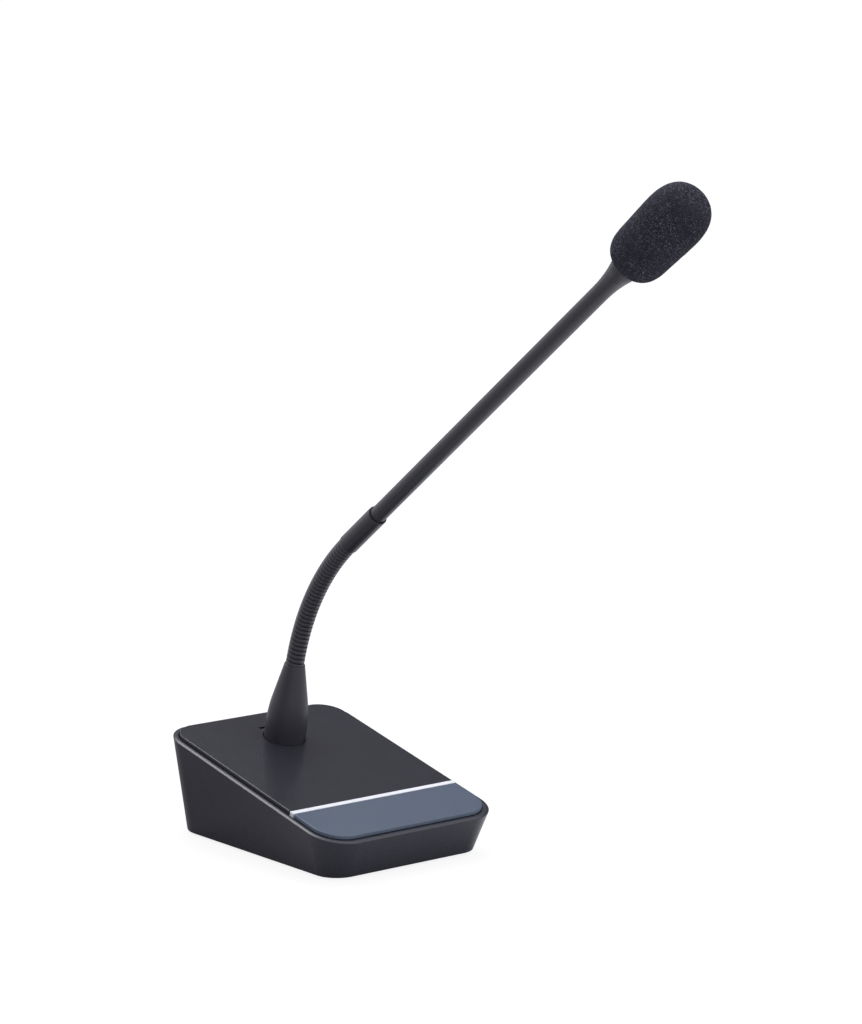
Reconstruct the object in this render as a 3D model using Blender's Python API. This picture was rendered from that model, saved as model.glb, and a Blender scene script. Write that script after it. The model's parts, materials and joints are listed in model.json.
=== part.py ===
"""Gooseneck desk microphone: a wedge-shaped base with a talk key, and a plug-in arm.

Lengths are in millimetres, and MM turns them into Blender's metres when a mesh or a frame is
made. +X is to the right, -Y is the front, where the talk key is, and +Z is up. The origin is
at the middle of the rubber pad's underside.
"""
import math

import bmesh
import bpy
from mathutils import Matrix, Vector

MM = 0.001
GAP = 0.3                     # air left between neighbouring pieces

# Base: a tray whose top slopes down to the front
PLATE_HALF_WIDTH = 46.85
DECK_FRONT = -65.3            # front edge of the sloped top
DECK_REAR = 58.3
DECK_FRONT_HEIGHT = 21.0
DECK_SLOPE = 0.2288           # rise per length
DECK_TILT = math.atan(DECK_SLOPE)
PLATE_FRONT_RADIUS = 13.7
PLATE_REAR_RADIUS = 12.0
WALL_BOTTOM = 1.0
FOOT_HALF_WIDTH = 43.4
FOOT_HALF_DEPTH = 61.3
FOOT_FRONT_RADIUS = 11.2
FOOT_REAR_RADIUS = 17.0
RIM_WIDTH = 3.15              # from the top plate's outline out to the wall's top edge
RIM_DROP = 2.05               # how far the wall's top edge lies below the top plate
CHAMFER_INNER = 1.8
CHAMFER_DROP = 1.65
WALL = 2.4
RECESS_GAP = 0.5
RECESS_DEPTH = 2.9
DECK_THICKNESS = 1.7
CORNER_STEPS = 6

# Talk key, light bar and top plate, measured along the slope from the deck's front edge
KEY_LENGTH = 28.4
BAR_FRONT = 28.65
BAR_REAR = 31.6
PLATE_START = 31.85
DECK_LENGTH = (DECK_REAR - DECK_FRONT) / math.cos(DECK_TILT)
INSERT_THICKNESS = 2.6
KEY_THICKNESS = 1.6
EDGE_BEVEL = 0.4
HINGE_Y = 23.9
HINGE_Z = -5.2
HINGE_PIN_RADIUS = 0.9
LUG_X = (31.0, 36.0)
EAR_X = (39.0, 43.6)
LUG_RADIUS = 2.4
SWITCH_X = 22.0
SWITCH_Y = 7.5
BOARD_TOP = -9.6
BOARD_THICKNESS = 1.4
LED_XS = (-18.0, 0.0, 18.0)

# Plug-in socket for the arm, in the deck's frame
SOCKET_Y = 99.7
PLATE_HOLE_RADIUS = 10.12
DECK_HOLE_RADIUS = 12.4
BARREL_RADIUS = 12.0
BARREL_BORE = 9.25
BARREL_TOP = -2.9
BARREL_BOTTOM = -24.0
TAB_HALF_WIDTH = 5.0
TAB_REAR = 12.7
TAB_INNER_RADIUS = 10.3
SLOT_MARGIN = 0.5
SOCKET_FLOOR = 2.0            # thickness of the barrel's closed end
SOCKET_SCREWS = ((-9.8, -12.6), (9.8, -12.6))
FLANGE_BOTTOM = -7.1
FLANGE_TOP = -4.9
FLANGE_HALF_WIDTH = 13.0
FLANGE_HALF_LENGTH = 15.5
PIN_CIRCLE = 3.6
PIN_ANGLES = (150.0, 30.0, 270.0)
PIN_RADIUS = 1.15
SCREW_HEAD_RADIUS = 2.3
SCREW_SHANK_RADIUS = 1.05
SCREW_HOLE_RADIUS = 1.35

# Arm: sleeve, bending neck, collar, tube and capsule
SLEEVE_RADIUS = 9.8
SLEEVE_BOTTOM = -2.6
SLEEVE_TOP = 37.3
SLEEVE_TOP_RADIUS = 4.8
SLEEVE_SHOULDER = 2.0
SLEEVE_CONE_START = 20.0
SLEEVE_CONE_RADIUS = 8.374
NECK_RADIUS = 4.15
SPIGOT_RADIUS = 3.7
SPIGOT_BORE = 4.0
NECK_ARC_START = 34.75        # height on the sleeve's axis where the bend begins
NECK_ARC_RADIUS = 112.9
NECK_VISIBLE = 76.0
NECK_JOINTS = 10
NECK_PITCH = NECK_VISIBLE / NECK_JOINTS
BEAD_CONE = math.radians(7.6)
COLLAR_LENGTH = 26.6
COLLAR_RADIUS = 4.72
RING_RADIUS = 4.4
TUBE_RADIUS = 3.93
TUBE_BORE = 3.1
TUBE_START = 13.6             # from the collar's lower end
FLARE_START = 211.3
FLARE_END = 228.5             # where the widening stops growing and starts to ease off
FLARE_EASE = 4.7
FLARE_RADIUS = 5.66
TUBE_END_RADIUS = 6.2
TUBE_END = 236.5              # the flared end runs on under the foam
CAPSULE_RADIUS = 6.1
CAPSULE_BORE = 5.4
CAPSULE_END = 256.3
FOAM_START = 233.8
FOAM_LENGTH = 48.9
FOAM_BOTTOM_RADIUS = 12.44
FOAM_TOP_RADIUS = 14.12
FOAM_BORE = 6.5

# Inside and underneath
COVER_BOTTOM = 2.6
COVER_THICKNESS = 2.2
PAD_THICKNESS = 2.3
COVER_SCREW_HOLE_RADIUS = 1.65
BALLAST_THICKNESS = 6.0
MAIN_BOARD_BOTTOM = 13.0
MAIN_BOARD_THICKNESS = 1.6
COVER_SCREWS = ((-35.5, -33.0), (35.5, -33.0), (-35.5, 46.5), (35.5, 46.5))
BOARD_POSTS = ((-24.0, 18.0), (24.0, 18.0), (-24.0, 50.0), (24.0, 50.0))
CONNECTOR_X = -20.0
CONNECTOR_Z = 27.0
CONNECTOR_SCREWS = ((-9.5, 12.0), (9.5, -12.0))
CONNECTOR_FLANGE = 1.9
CONNECTOR_RADIUS = 10.6
CONNECTOR_BORE = 9.4
REAR_WALL = 61.35

ROUND = 24                    # sides of a turned piece of middling size


def clear_scene():
    for thing in list(bpy.data.objects):
        bpy.data.objects.remove(thing, do_unlink=True)


def material(name, colour, roughness, metallic=0.0):
    made = bpy.data.materials.get(name)
    if made:
        return made
    made = bpy.data.materials.new(name)
    made.use_nodes = True
    shader = made.node_tree.nodes["Principled BSDF"]
    shader.inputs["Base Color"].default_value = (*colour, 1.0)
    shader.inputs["Roughness"].default_value = roughness
    shader.inputs["Metallic"].default_value = metallic
    return made


def black_plastic():
    return material("black_plastic", (0.035, 0.036, 0.040), 0.42)


def plate_plastic():
    return material("plate_plastic", (0.040, 0.040, 0.044), 0.35)


def key_plastic():
    return material("key_plastic", (0.125, 0.155, 0.205), 0.38)


def light_guide():
    return material("light_guide", (0.93, 0.94, 0.95), 0.25)


def black_metal():
    return material("black_metal", (0.030, 0.030, 0.035), 0.36, 0.6)


def steel():
    return material("steel", (0.60, 0.60, 0.62), 0.30, 1.0)


def rubber():
    return material("rubber", (0.020, 0.020, 0.021), 0.80)


def foam_grey():
    return material("foam", (0.030, 0.031, 0.037), 0.95)


def board_green():
    return material("board", (0.020, 0.120, 0.060), 0.45)


def gold():
    return material("gold", (0.83, 0.62, 0.25), 0.25, 1.0)


def frame(name, parent=None, at=(0.0, 0.0, 0.0), tilt=0.0):
    """An empty that carries pieces; tilt turns it about X."""
    empty = bpy.data.objects.new(name, None)
    bpy.context.scene.collection.objects.link(empty)
    empty.empty_display_size = 5 * MM
    empty.parent = parent
    empty.location = Vector(at) * MM
    empty.rotation_euler = (tilt, 0.0, 0.0)
    return empty


def solid(name, bm, look, parent=None, at=(0.0, 0.0, 0.0), tilt=0.0):
    """Turn a bmesh in millimetres into a named object in metres."""
    bmesh.ops.remove_doubles(bm, verts=bm.verts, dist=0.0005)
    bmesh.ops.recalc_face_normals(bm, faces=bm.faces)
    bmesh.ops.scale(bm, vec=(MM, MM, MM), verts=bm.verts)
    mesh = bpy.data.meshes.new(name)
    bm.to_mesh(mesh)
    bm.free()
    mesh.shade_smooth()
    mesh.set_sharp_from_angle(angle=math.radians(32))
    mesh.materials.append(look)
    made = bpy.data.objects.new(name, mesh)
    bpy.context.scene.collection.objects.link(made)
    made.parent = parent
    made.location = Vector(at) * MM
    made.rotation_euler = (tilt, 0.0, 0.0)
    return made


def outline(half_width, front, rear, front_radius, rear_radius, steps=CORNER_STEPS):
    """A rectangle with rounded corners, anticlockwise from its front left corner."""
    corners = (
        (-half_width + front_radius, front + front_radius, front_radius, 180),
        (half_width - front_radius, front + front_radius, front_radius, 270),
        (half_width - rear_radius, rear - rear_radius, rear_radius, 0),
        (-half_width + rear_radius, rear - rear_radius, rear_radius, 90),
    )
    points = []
    for x, y, radius, start in corners:
        if radius <= 0.0:
            points.append((x, y))
            continue
        for step in range(steps + 1):
            angle = math.radians(start + 90.0 * step / steps)
            points.append((x + radius * math.cos(angle), y + radius * math.sin(angle)))
    return points


def grown(amount):
    """The outline of the sloped top, in plan, moved outward by an amount."""
    return outline(PLATE_HALF_WIDTH + amount, DECK_FRONT - amount, DECK_REAR + amount,
                   PLATE_FRONT_RADIUS + amount, PLATE_REAR_RADIUS + amount)


def deck_height(y):
    return DECK_FRONT_HEIGHT + DECK_SLOPE * (y - DECK_FRONT)


def loft(rings):
    """A closed solid through rings with equal numbers of points."""
    bm = bmesh.new()
    rows = [[bm.verts.new(point) for point in ring] for ring in rings]
    count = len(rings[0])
    for low, high in zip(rows, rows[1:]):
        for i in range(count):
            j = (i + 1) % count
            bm.faces.new((low[i], low[j], high[j], high[i]))
    bm.faces.new(rows[0][::-1])
    bm.faces.new(rows[-1])
    return bm


def prism(points, low, high):
    return loft([[(x, y, z) for x, y in points] for z in (low, high)])


def bevelled_prism(points, inner_points, low, high, bevel):
    """A prism whose top edge slants in to a slightly smaller outline."""
    return loft([[(x, y, low) for x, y in points],
                 [(x, y, high - bevel) for x, y in points],
                 [(x, y, high) for x, y in inner_points]])


def block(x_range, y_range, z_range):
    (x0, x1), (y0, y1), (z0, z1) = x_range, y_range, z_range
    return prism([(x0, y0), (x1, y0), (x1, y1), (x0, y1)], z0, z1)


def turned(profile, sides=ROUND):
    """A closed solid turned about Z from a closed profile of (radius, height) points."""
    bm = bmesh.new()
    columns = []
    for radius, height in profile:
        if radius < 1e-6:
            columns.append([bm.verts.new((0.0, 0.0, height))] * sides)
            continue
        column = []
        for side in range(sides):
            angle = 2.0 * math.pi * side / sides
            column.append(bm.verts.new((radius * math.cos(angle), radius * math.sin(angle), height)))
        columns.append(column)
    for a, b in zip(columns, columns[1:] + columns[:1]):
        for side in range(sides):
            following = (side + 1) % sides
            corners = []
            for vert in (a[side], a[following], b[following], b[side]):
                if vert not in corners:
                    corners.append(vert)
            if len(corners) > 2:
                bm.faces.new(corners)
    return bm


def rod(radius, low, high, sides=12):
    return turned([(0.0, low), (radius, low), (radius, high), (0.0, high)], sides)


def pipe(radius, bore, low, high, sides=ROUND):
    return turned([(bore, low), (radius, low), (radius, high), (bore, high)], sides)


def lay_along(bm, axis):
    """Turn a bmesh made about Z so that its axis runs along X or Y."""
    turn = Matrix.Rotation(math.radians(90), 3, "Y" if axis == "X" else "X")
    bmesh.ops.rotate(bm, verts=bm.verts, cent=(0.0, 0.0, 0.0), matrix=turn)
    return bm


def shape(target, tool, operation):
    """Cut a tool from a target, or unite it with the target, by a Boolean modifier."""
    tool.hide_render = True
    tool.display_type = "WIRE"
    modifier = target.modifiers.new(tool.name, "BOOLEAN")
    modifier.operation = operation
    modifier.object = tool
    modifier.solver = "EXACT"
    return target


def cut(target, name, bm, parent=None, at=(0.0, 0.0, 0.0)):
    return shape(target, solid(name, bm, target.data.materials[0], parent, at), "DIFFERENCE")


def unite(target, name, bm, parent=None, at=(0.0, 0.0, 0.0)):
    return shape(target, solid(name, bm, target.data.materials[0], parent, at), "UNION")


def coil_spring(coil_radius, wire_radius, low, high, turns, per_turn=10, sides=6):
    """A compression spring about Z as one swept wire with flat ends."""
    bm = bmesh.new()
    rows = []
    count = turns * per_turn
    for step in range(count + 1):
        angle = 2.0 * math.pi * step / per_turn
        height = low + wire_radius + (high - low - 2 * wire_radius) * step / count
        outward = Vector((math.cos(angle), math.sin(angle), 0.0))
        centre = outward * coil_radius + Vector((0.0, 0.0, height))
        row = []
        for side in range(sides):
            turn = 2.0 * math.pi * side / sides
            offset = outward * math.cos(turn) + Vector((0.0, 0.0, 1.0)) * math.sin(turn)
            row.append(bm.verts.new(centre + offset * wire_radius))
        rows.append(row)
    for low_row, high_row in zip(rows, rows[1:]):
        for side in range(sides):
            following = (side + 1) % sides
            bm.faces.new((low_row[side], low_row[following], high_row[following], high_row[side]))
    bm.faces.new(rows[0][::-1])
    bm.faces.new(rows[-1])
    return bm


def cross_screw(name, look, head_radius, head_height, shank_radius, length, parent, at, tilt):
    """A pan-head screw about Z: the head below z = 0, the shank above it, a cross in the head."""
    profile = [(0.0, -head_height), (head_radius * 0.8, -head_height),
               (head_radius, -head_height * 0.55), (head_radius, 0.0),
               (shank_radius, 0.0), (shank_radius, length), (0.0, length)]
    holder = frame(name + "_frame", parent, at, tilt)
    made = solid(name, turned(profile, 14), look, holder)
    reach = head_radius * 0.6
    half = head_radius * 0.14
    depth = head_height * 0.5
    arms = [(half, reach), (half, half), (reach, half), (reach, -half), (half, -half), (half, -reach),
            (-half, -reach), (-half, -half), (-reach, -half), (-reach, half), (-half, half),
            (-half, reach)]
    cut(made, name + "_cross_cutter", prism(arms, -head_height - 1.0, -head_height + depth), holder)
    return made


def base_shell(deck):
    """The drafted tray: walls, chamfered rim, sunken deck, screw bosses and hinge ears."""
    foot = outline(FOOT_HALF_WIDTH, -FOOT_HALF_DEPTH, FOOT_HALF_DEPTH,
                   FOOT_FRONT_RADIUS, FOOT_REAR_RADIUS)
    rings = [[(x, y, WALL_BOTTOM) for x, y in foot],
             [(x, y, deck_height(y) - RIM_DROP) for x, y in grown(RIM_WIDTH)],
             [(x, y, deck_height(y) - CHAMFER_DROP) for x, y in grown(CHAMFER_INNER)]]
    shell = solid("base_shell", loft(rings), black_plastic())

    inner_foot = outline(FOOT_HALF_WIDTH - WALL, -FOOT_HALF_DEPTH + WALL, FOOT_HALF_DEPTH - WALL,
                         FOOT_FRONT_RADIUS - WALL, FOOT_REAR_RADIUS - WALL)
    ceiling = (RECESS_DEPTH + DECK_THICKNESS) / math.cos(DECK_TILT)
    cavity = [[(x, y, WALL_BOTTOM - 1.0) for x, y in inner_foot],
              [(x, y, deck_height(y) - ceiling) for x, y in grown(RIM_WIDTH - WALL - 0.8)]]
    cut(shell, "shell_cavity_cutter", loft(cavity))

    recess = outline(PLATE_HALF_WIDTH + RECESS_GAP, -RECESS_GAP, DECK_LENGTH + RECESS_GAP,
                     PLATE_FRONT_RADIUS + RECESS_GAP, PLATE_REAR_RADIUS + RECESS_GAP)
    cut(shell, "deck_recess_cutter", prism(recess, -RECESS_DEPTH, 12.0), deck)
    cut(shell, "key_window_cutter", block((-42.5, 42.5), (3.8, 26.7), (-9.0, 0.0)), deck)
    cut(shell, "light_slot_cutter", block((-29.6, 29.6), (28.9, 31.3), (-9.0, 0.0)), deck)

    ceiling_here = -RECESS_DEPTH - DECK_THICKNESS * 0.5
    for side in (-1, 1):
        label = "left" if side < 0 else "right"
        ear = block(sorted((side * EAR_X[0], side * EAR_X[1])),
                    (HINGE_Y - LUG_RADIUS, HINGE_Y + LUG_RADIUS + 1.0), (HINGE_Z - LUG_RADIUS, -3.0))
        unite(shell, f"hinge_ear_{label}_tool", ear, deck)
        post = rod(2.0, BOARD_TOP + GAP, ceiling_here, 12)
        unite(shell, f"key_board_post_{label}_tool", post, deck, (side * 26.0, 33.6, 0.0))
    for index, (x, y) in enumerate(COVER_SCREWS, 1):
        top = deck_height(y) - (RECESS_DEPTH + DECK_THICKNESS * 0.5) / math.cos(DECK_TILT)
        boss = rod(3.4, COVER_BOTTOM + COVER_THICKNESS + GAP, top, 14)
        unite(shell, f"cover_boss_{index}_tool", boss, None, (x, y, 0.0))
        hole = rod(COVER_SCREW_HOLE_RADIUS, 0.0, 14.5, 12)
        cut(shell, f"cover_boss_{index}_cutter", hole, None, (x, y, 0.0))

    pin_hole = lay_along(rod(HINGE_PIN_RADIUS + 0.2, -41.7, 41.7), "X")
    cut(shell, "hinge_pin_cutter", pin_hole, deck, (0.0, HINGE_Y, HINGE_Z))
    cut(shell, "socket_hole_cutter", rod(DECK_HOLE_RADIUS, -9.0, 0.0, 32), deck, (0.0, SOCKET_Y, 0.0))
    slot = block((-TAB_HALF_WIDTH - 0.6, TAB_HALF_WIDTH + 0.6), (0.0, TAB_REAR + 0.9), (-9.0, 0.0))
    cut(shell, "deck_latch_cutter", slot, deck, (0.0, SOCKET_Y, 0.0))
    for index, (x, y) in enumerate(SOCKET_SCREWS, 1):
        hole = rod(SCREW_HOLE_RADIUS, -9.0, 0.0)
        cut(shell, f"socket_screw_{index}_cutter", hole, deck, (x, SOCKET_Y + y, 0.0))
    opening = lay_along(rod(11.2, -6.0, 6.0, 32), "Y")
    cut(shell, "connector_hole_cutter", opening, None, (CONNECTOR_X, REAR_WALL, CONNECTOR_Z))
    for index, (x, z) in enumerate(CONNECTOR_SCREWS, 1):
        hole = lay_along(rod(SCREW_HOLE_RADIUS, -6.0, 6.0), "Y")
        cut(shell, f"connector_screw_{index}_cutter", hole, None,
            (CONNECTOR_X + x, REAR_WALL, CONNECTOR_Z + z))
    return shell


def top_plate(deck):
    edge = outline(PLATE_HALF_WIDTH, PLATE_START, DECK_LENGTH, 0.0, PLATE_REAR_RADIUS)
    inner = outline(PLATE_HALF_WIDTH - EDGE_BEVEL, PLATE_START + EDGE_BEVEL, DECK_LENGTH - EDGE_BEVEL,
                    0.0, PLATE_REAR_RADIUS - EDGE_BEVEL)
    plate = solid("top_plate", bevelled_prism(edge, inner, -INSERT_THICKNESS, 0.0, EDGE_BEVEL),
                  plate_plastic(), deck)
    cut(plate, "plate_hole_cutter", rod(PLATE_HOLE_RADIUS, -5.0, 5.0, 48), deck, (0.0, SOCKET_Y, 0.0))
    slot = block((-TAB_HALF_WIDTH - SLOT_MARGIN, TAB_HALF_WIDTH + SLOT_MARGIN),
                 (0.0, TAB_REAR + SLOT_MARGIN), (-5.0, 5.0))
    cut(plate, "plate_latch_cutter", slot, deck, (0.0, SOCKET_Y, 0.0))
    return plate


def light_bar(deck):
    head = bevelled_prism(
        [(-PLATE_HALF_WIDTH, BAR_FRONT), (PLATE_HALF_WIDTH, BAR_FRONT),
         (PLATE_HALF_WIDTH, BAR_REAR), (-PLATE_HALF_WIDTH, BAR_REAR)],
        [(-PLATE_HALF_WIDTH + 0.2, BAR_FRONT + 0.2), (PLATE_HALF_WIDTH - 0.2, BAR_FRONT + 0.2),
         (PLATE_HALF_WIDTH - 0.2, BAR_REAR - 0.2), (-PLATE_HALF_WIDTH + 0.2, BAR_REAR - 0.2)],
        -INSERT_THICKNESS, 0.0, 0.2)
    bar = solid("light_bar", head, light_guide(), deck)
    stem = block((-29.0, 29.0), (29.25, 30.95), (-8.3, -1.0))
    return unite(bar, "light_stem_tool", stem, deck)


def talk_key(pivot):
    """The key cap: a thin rounded top with a frame of ribs, two hinge lugs and two pushers.

    Its parent empty lies on the hinge axis, so every height and length is taken from there.
    """
    def on_deck(points):
        return [(x, y - HINGE_Y) for x, y in points]

    top = -HINGE_Z
    edge = on_deck(outline(PLATE_HALF_WIDTH, 0.0, KEY_LENGTH, PLATE_FRONT_RADIUS, 0.0))
    inner = on_deck(outline(PLATE_HALF_WIDTH - EDGE_BEVEL, EDGE_BEVEL, KEY_LENGTH - EDGE_BEVEL,
                            PLATE_FRONT_RADIUS - EDGE_BEVEL, 0.0))
    key = solid("talk_key", bevelled_prism(edge, inner, top - KEY_THICKNESS, top, EDGE_BEVEL),
                key_plastic(), pivot)
    rib_top = top - KEY_THICKNESS * 0.5
    for name, x_range, y_range in (("front", (-38.0, 38.0), (5.0, 6.2)),
                                   ("rear", (-38.0, 38.0), (19.3, 20.5)),
                                   ("left", (-38.0, -36.8), (5.5, 20.0)),
                                   ("right", (36.8, 38.0), (5.5, 20.0))):
        low, high = y_range
        rib = block(x_range, (low - HINGE_Y, high - HINGE_Y), (top - 4.0, rib_top))
        unite(key, f"key_rib_{name}_tool", rib, pivot)
    for side in (-1, 1):
        label = "left" if side < 0 else "right"
        x_range = sorted((side * LUG_X[0], side * LUG_X[1]))
        lug = block(x_range, (-LUG_RADIUS, LUG_RADIUS), (0.0, rib_top))
        unite(key, f"hinge_lug_{label}_tool", lug, pivot)
        barrel = lay_along(rod(LUG_RADIUS, x_range[0] + 0.01, x_range[1] - 0.01, 16), "X")
        unite(key, f"hinge_barrel_{label}_tool", barrel, pivot)
        pusher = rod(1.5, top - 4.6, rib_top, 10)
        place = (side * SWITCH_X, SWITCH_Y - HINGE_Y, 0.0)
        unite(key, f"key_pusher_{label}_tool", pusher, pivot, place)
    bore = lay_along(rod(HINGE_PIN_RADIUS + 0.2, -40.0, 40.0), "X")
    return cut(key, "hinge_bore_cutter", bore, pivot)


def key_parts(deck):
    """Hinge pin, board, switches, lamps and return spring under the key."""
    pin = lay_along(rod(HINGE_PIN_RADIUS, -41.3, 41.3), "X")
    solid("key_hinge_pin", pin, steel(), deck, (0.0, HINGE_Y, HINGE_Z))
    board = block((-30.5, 30.5), (4.0, 35.6), (BOARD_TOP - BOARD_THICKNESS, BOARD_TOP))
    solid("key_board", board, board_green(), deck)
    for index, x in enumerate(LED_XS, 1):
        lamp = block((x - 1.75, x + 1.75), (28.7, 31.5), (BOARD_TOP + GAP, BOARD_TOP + 1.0))
        solid(f"bar_led_{index}", lamp, light_guide(), deck)
    for side in (-1, 1):
        label = "left" if side < 0 else "right"
        place = (side * SWITCH_X, SWITCH_Y, 0.0)
        body = solid(f"switch_body_{label}", block((-3.0, 3.0), (-3.0, 3.0), (BOARD_TOP + GAP, -5.9)),
                     black_plastic(), deck, place)
        cut(body, f"switch_body_{label}_cutter", rod(1.95, -8.7, 0.0, 16), deck, place)
        slide = frame(f"switch_slide_{label}", deck, (side * SWITCH_X, SWITCH_Y, -4.9))
        solid(f"switch_plunger_{label}", rod(1.6, -2.8, 0.0, 16), key_plastic(), slide)
    spring = coil_spring(3.0, 0.35, BOARD_TOP + GAP, -KEY_THICKNESS - GAP, 5)
    solid("key_spring", spring, steel(), deck, (0.0, 12.8, 0.0))


def arm_socket(deck):
    """The chassis socket under the deck that takes the arm's plug, with its release tab."""
    place = (0.0, SOCKET_Y, 0.0)
    floor = BARREL_BOTTOM + SOCKET_FLOOR
    profile = [(6.0, BARREL_BOTTOM), (BARREL_RADIUS, BARREL_BOTTOM), (BARREL_RADIUS, BARREL_TOP),
               (BARREL_BORE, BARREL_TOP), (BARREL_BORE, floor), (6.0, floor)]
    barrel = solid("arm_socket", turned(profile, 32), black_metal(), deck, place)
    flange_points = outline(FLANGE_HALF_WIDTH, -FLANGE_HALF_LENGTH, FLANGE_HALF_LENGTH, 2.0, 2.0, 3)
    flange = prism(flange_points, FLANGE_BOTTOM, FLANGE_TOP)
    unite(barrel, "socket_flange_tool", flange, deck, place)
    cut(barrel, "socket_bore_cutter", rod(BARREL_BORE, floor, 0.0, 32), deck, place)
    shelf = block((-3.4, 3.4), (10.4, 14.0), (-19.4, -17.8))
    unite(barrel, "latch_shelf_tool", shelf, deck, place)
    slot = block((-TAB_HALF_WIDTH - 0.35, TAB_HALF_WIDTH + 0.35), (7.0, TAB_REAR + 0.4), (-17.8, 0.0))
    cut(barrel, "socket_latch_cutter", slot, deck, place)
    for index, (x, y) in enumerate(SOCKET_SCREWS, 1):
        hole = rod(SCREW_HOLE_RADIUS, -9.0, -3.0)
        cut(barrel, f"flange_screw_{index}_cutter", hole, deck, (x, SOCKET_Y + y, 0.0))
        cross_screw(f"socket_screw_{index}", steel(), SCREW_HEAD_RADIUS, 1.4, SCREW_SHANK_RADIUS, 4.2,
                    deck, (x, SOCKET_Y + y, FLANGE_BOTTOM - GAP), 0.0)

    insert = solid("socket_insert", rod(7.3, floor + GAP, -8.6, 28), black_plastic(),
                   deck, place)
    for index, angle in enumerate(PIN_ANGLES, 1):
        x = PIN_CIRCLE * math.cos(math.radians(angle))
        y = PIN_CIRCLE * math.sin(math.radians(angle))
        hole = rod(1.55, -26.0, -4.0)
        cut(insert, f"contact_hole_{index}_cutter", hole, deck, (x, SOCKET_Y + y, 0.0))
        contact = rod(PIN_RADIUS, -27.0, -19.2)
        solid(f"socket_contact_{index}", contact, gold(), deck, (x, SOCKET_Y + y, 0.0))

    slide = frame("latch_slide", deck, place)
    tab = block((-TAB_HALF_WIDTH, TAB_HALF_WIDTH), (7.5, TAB_REAR), (-11.5, -0.1))
    latch = solid("latch_tab", tab, black_plastic(), slide)
    cut(latch, "latch_arc_cutter", rod(TAB_INNER_RADIUS, -14.0, 3.0, 48), slide)
    spring = coil_spring(1.1, 0.25, -17.5, -11.8, 5, 8, 5)
    solid("latch_spring", spring, steel(), deck, (0.0, SOCKET_Y + 11.9, 0.0))


def output_connector():
    """The three-pin outlet on the rear wall."""
    place = (CONNECTOR_X, REAR_WALL + GAP, CONNECTOR_Z)
    holder = frame("connector_frame", None, place)
    flange_points = outline(FLANGE_HALF_WIDTH, -FLANGE_HALF_LENGTH, FLANGE_HALF_LENGTH, 2.5, 2.5, 3)
    flange = lay_along(prism(flange_points, -CONNECTOR_FLANGE, 0.0), "Y")
    body = solid("output_connector", flange, black_metal(), holder)
    shell = lay_along(rod(CONNECTOR_RADIUS, -0.5, 16.4, 28), "Y")
    unite(body, "connector_shell_tool", shell, holder)
    cavity = lay_along(rod(CONNECTOR_BORE, -4.0, 14.6, 28), "Y")
    cut(body, "connector_cavity_cutter", cavity, holder)
    for index, (x, z) in enumerate(CONNECTOR_SCREWS, 1):
        hole = lay_along(rod(SCREW_HOLE_RADIUS, -6.0, 6.0), "Y")
        cut(body, f"connector_flange_{index}_cutter", hole, holder, (x, 0.0, z))
    pin_block = lay_along(rod(CONNECTOR_BORE - 0.4, 11.8, 14.3, 28), "Y")
    pins = solid("output_pin_block", pin_block, gold(), holder)
    for index, angle in enumerate(PIN_ANGLES, 1):
        x = PIN_CIRCLE * math.cos(math.radians(angle))
        z = PIN_CIRCLE * math.sin(math.radians(angle))
        pin = lay_along(rod(PIN_RADIUS, 4.4, 12.6), "Y")
        unite(pins, f"output_pin_{index}_tool", pin, holder, (x, 0.0, z))
    for index, (x, z) in enumerate(CONNECTOR_SCREWS, 1):
        spot = (CONNECTOR_X + x, REAR_WALL + 2 * GAP + CONNECTOR_FLANGE, CONNECTOR_Z + z)
        cross_screw(f"connector_screw_{index}", steel(), SCREW_HEAD_RADIUS, 1.2, SCREW_SHANK_RADIUS,
                    7.0, None, spot, math.radians(90))


def underside():
    """Bottom cover, its screws, the rubber pad, the ballast plate and the main board."""
    cover_top = COVER_BOTTOM + COVER_THICKNESS
    margin = WALL + 0.35
    points = outline(FOOT_HALF_WIDTH - margin, -FOOT_HALF_DEPTH + margin, FOOT_HALF_DEPTH - margin,
                     FOOT_FRONT_RADIUS - margin, FOOT_REAR_RADIUS - margin)
    cover = solid("bottom_cover", prism(points, COVER_BOTTOM, cover_top), black_plastic())
    for index, (x, y) in enumerate(BOARD_POSTS, 1):
        post = rod(2.5, cover_top - 1.0, MAIN_BOARD_BOTTOM - GAP, 12)
        unite(cover, f"board_post_{index}_tool", post, None, (x, y, 0.0))
    for index, (x, y) in enumerate(COVER_SCREWS, 1):
        hole = rod(COVER_SCREW_HOLE_RADIUS, 0.0, 10.0)
        cut(cover, f"cover_hole_{index}_cutter", hole, None, (x, y, 0.0))
        cross_screw(f"cover_screw_{index}", steel(), 2.8, 1.4, 1.3, 11.0, None,
                    (x, y, COVER_BOTTOM - GAP), 0.0)
    pad = bevelled_prism(outline(26.6, -49.6, 49.6, 7.6, 7.6), outline(27.0, -50.0, 50.0, 8.0, 8.0),
                         0.0, PAD_THICKNESS, PAD_THICKNESS - 0.4)
    solid("anti_slip_pad", pad, rubber())
    ballast_bottom = cover_top + GAP
    ballast = prism(outline(29.0, -44.0, 8.0, 2.0, 2.0, 3), ballast_bottom,
                    ballast_bottom + BALLAST_THICKNESS)
    solid("ballast_plate", ballast, steel())
    board = block((-28.0, 28.0), (14.0, 54.0),
                  (MAIN_BOARD_BOTTOM, MAIN_BOARD_BOTTOM + MAIN_BOARD_THICKNESS))
    solid("main_board", board, board_green())


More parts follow.
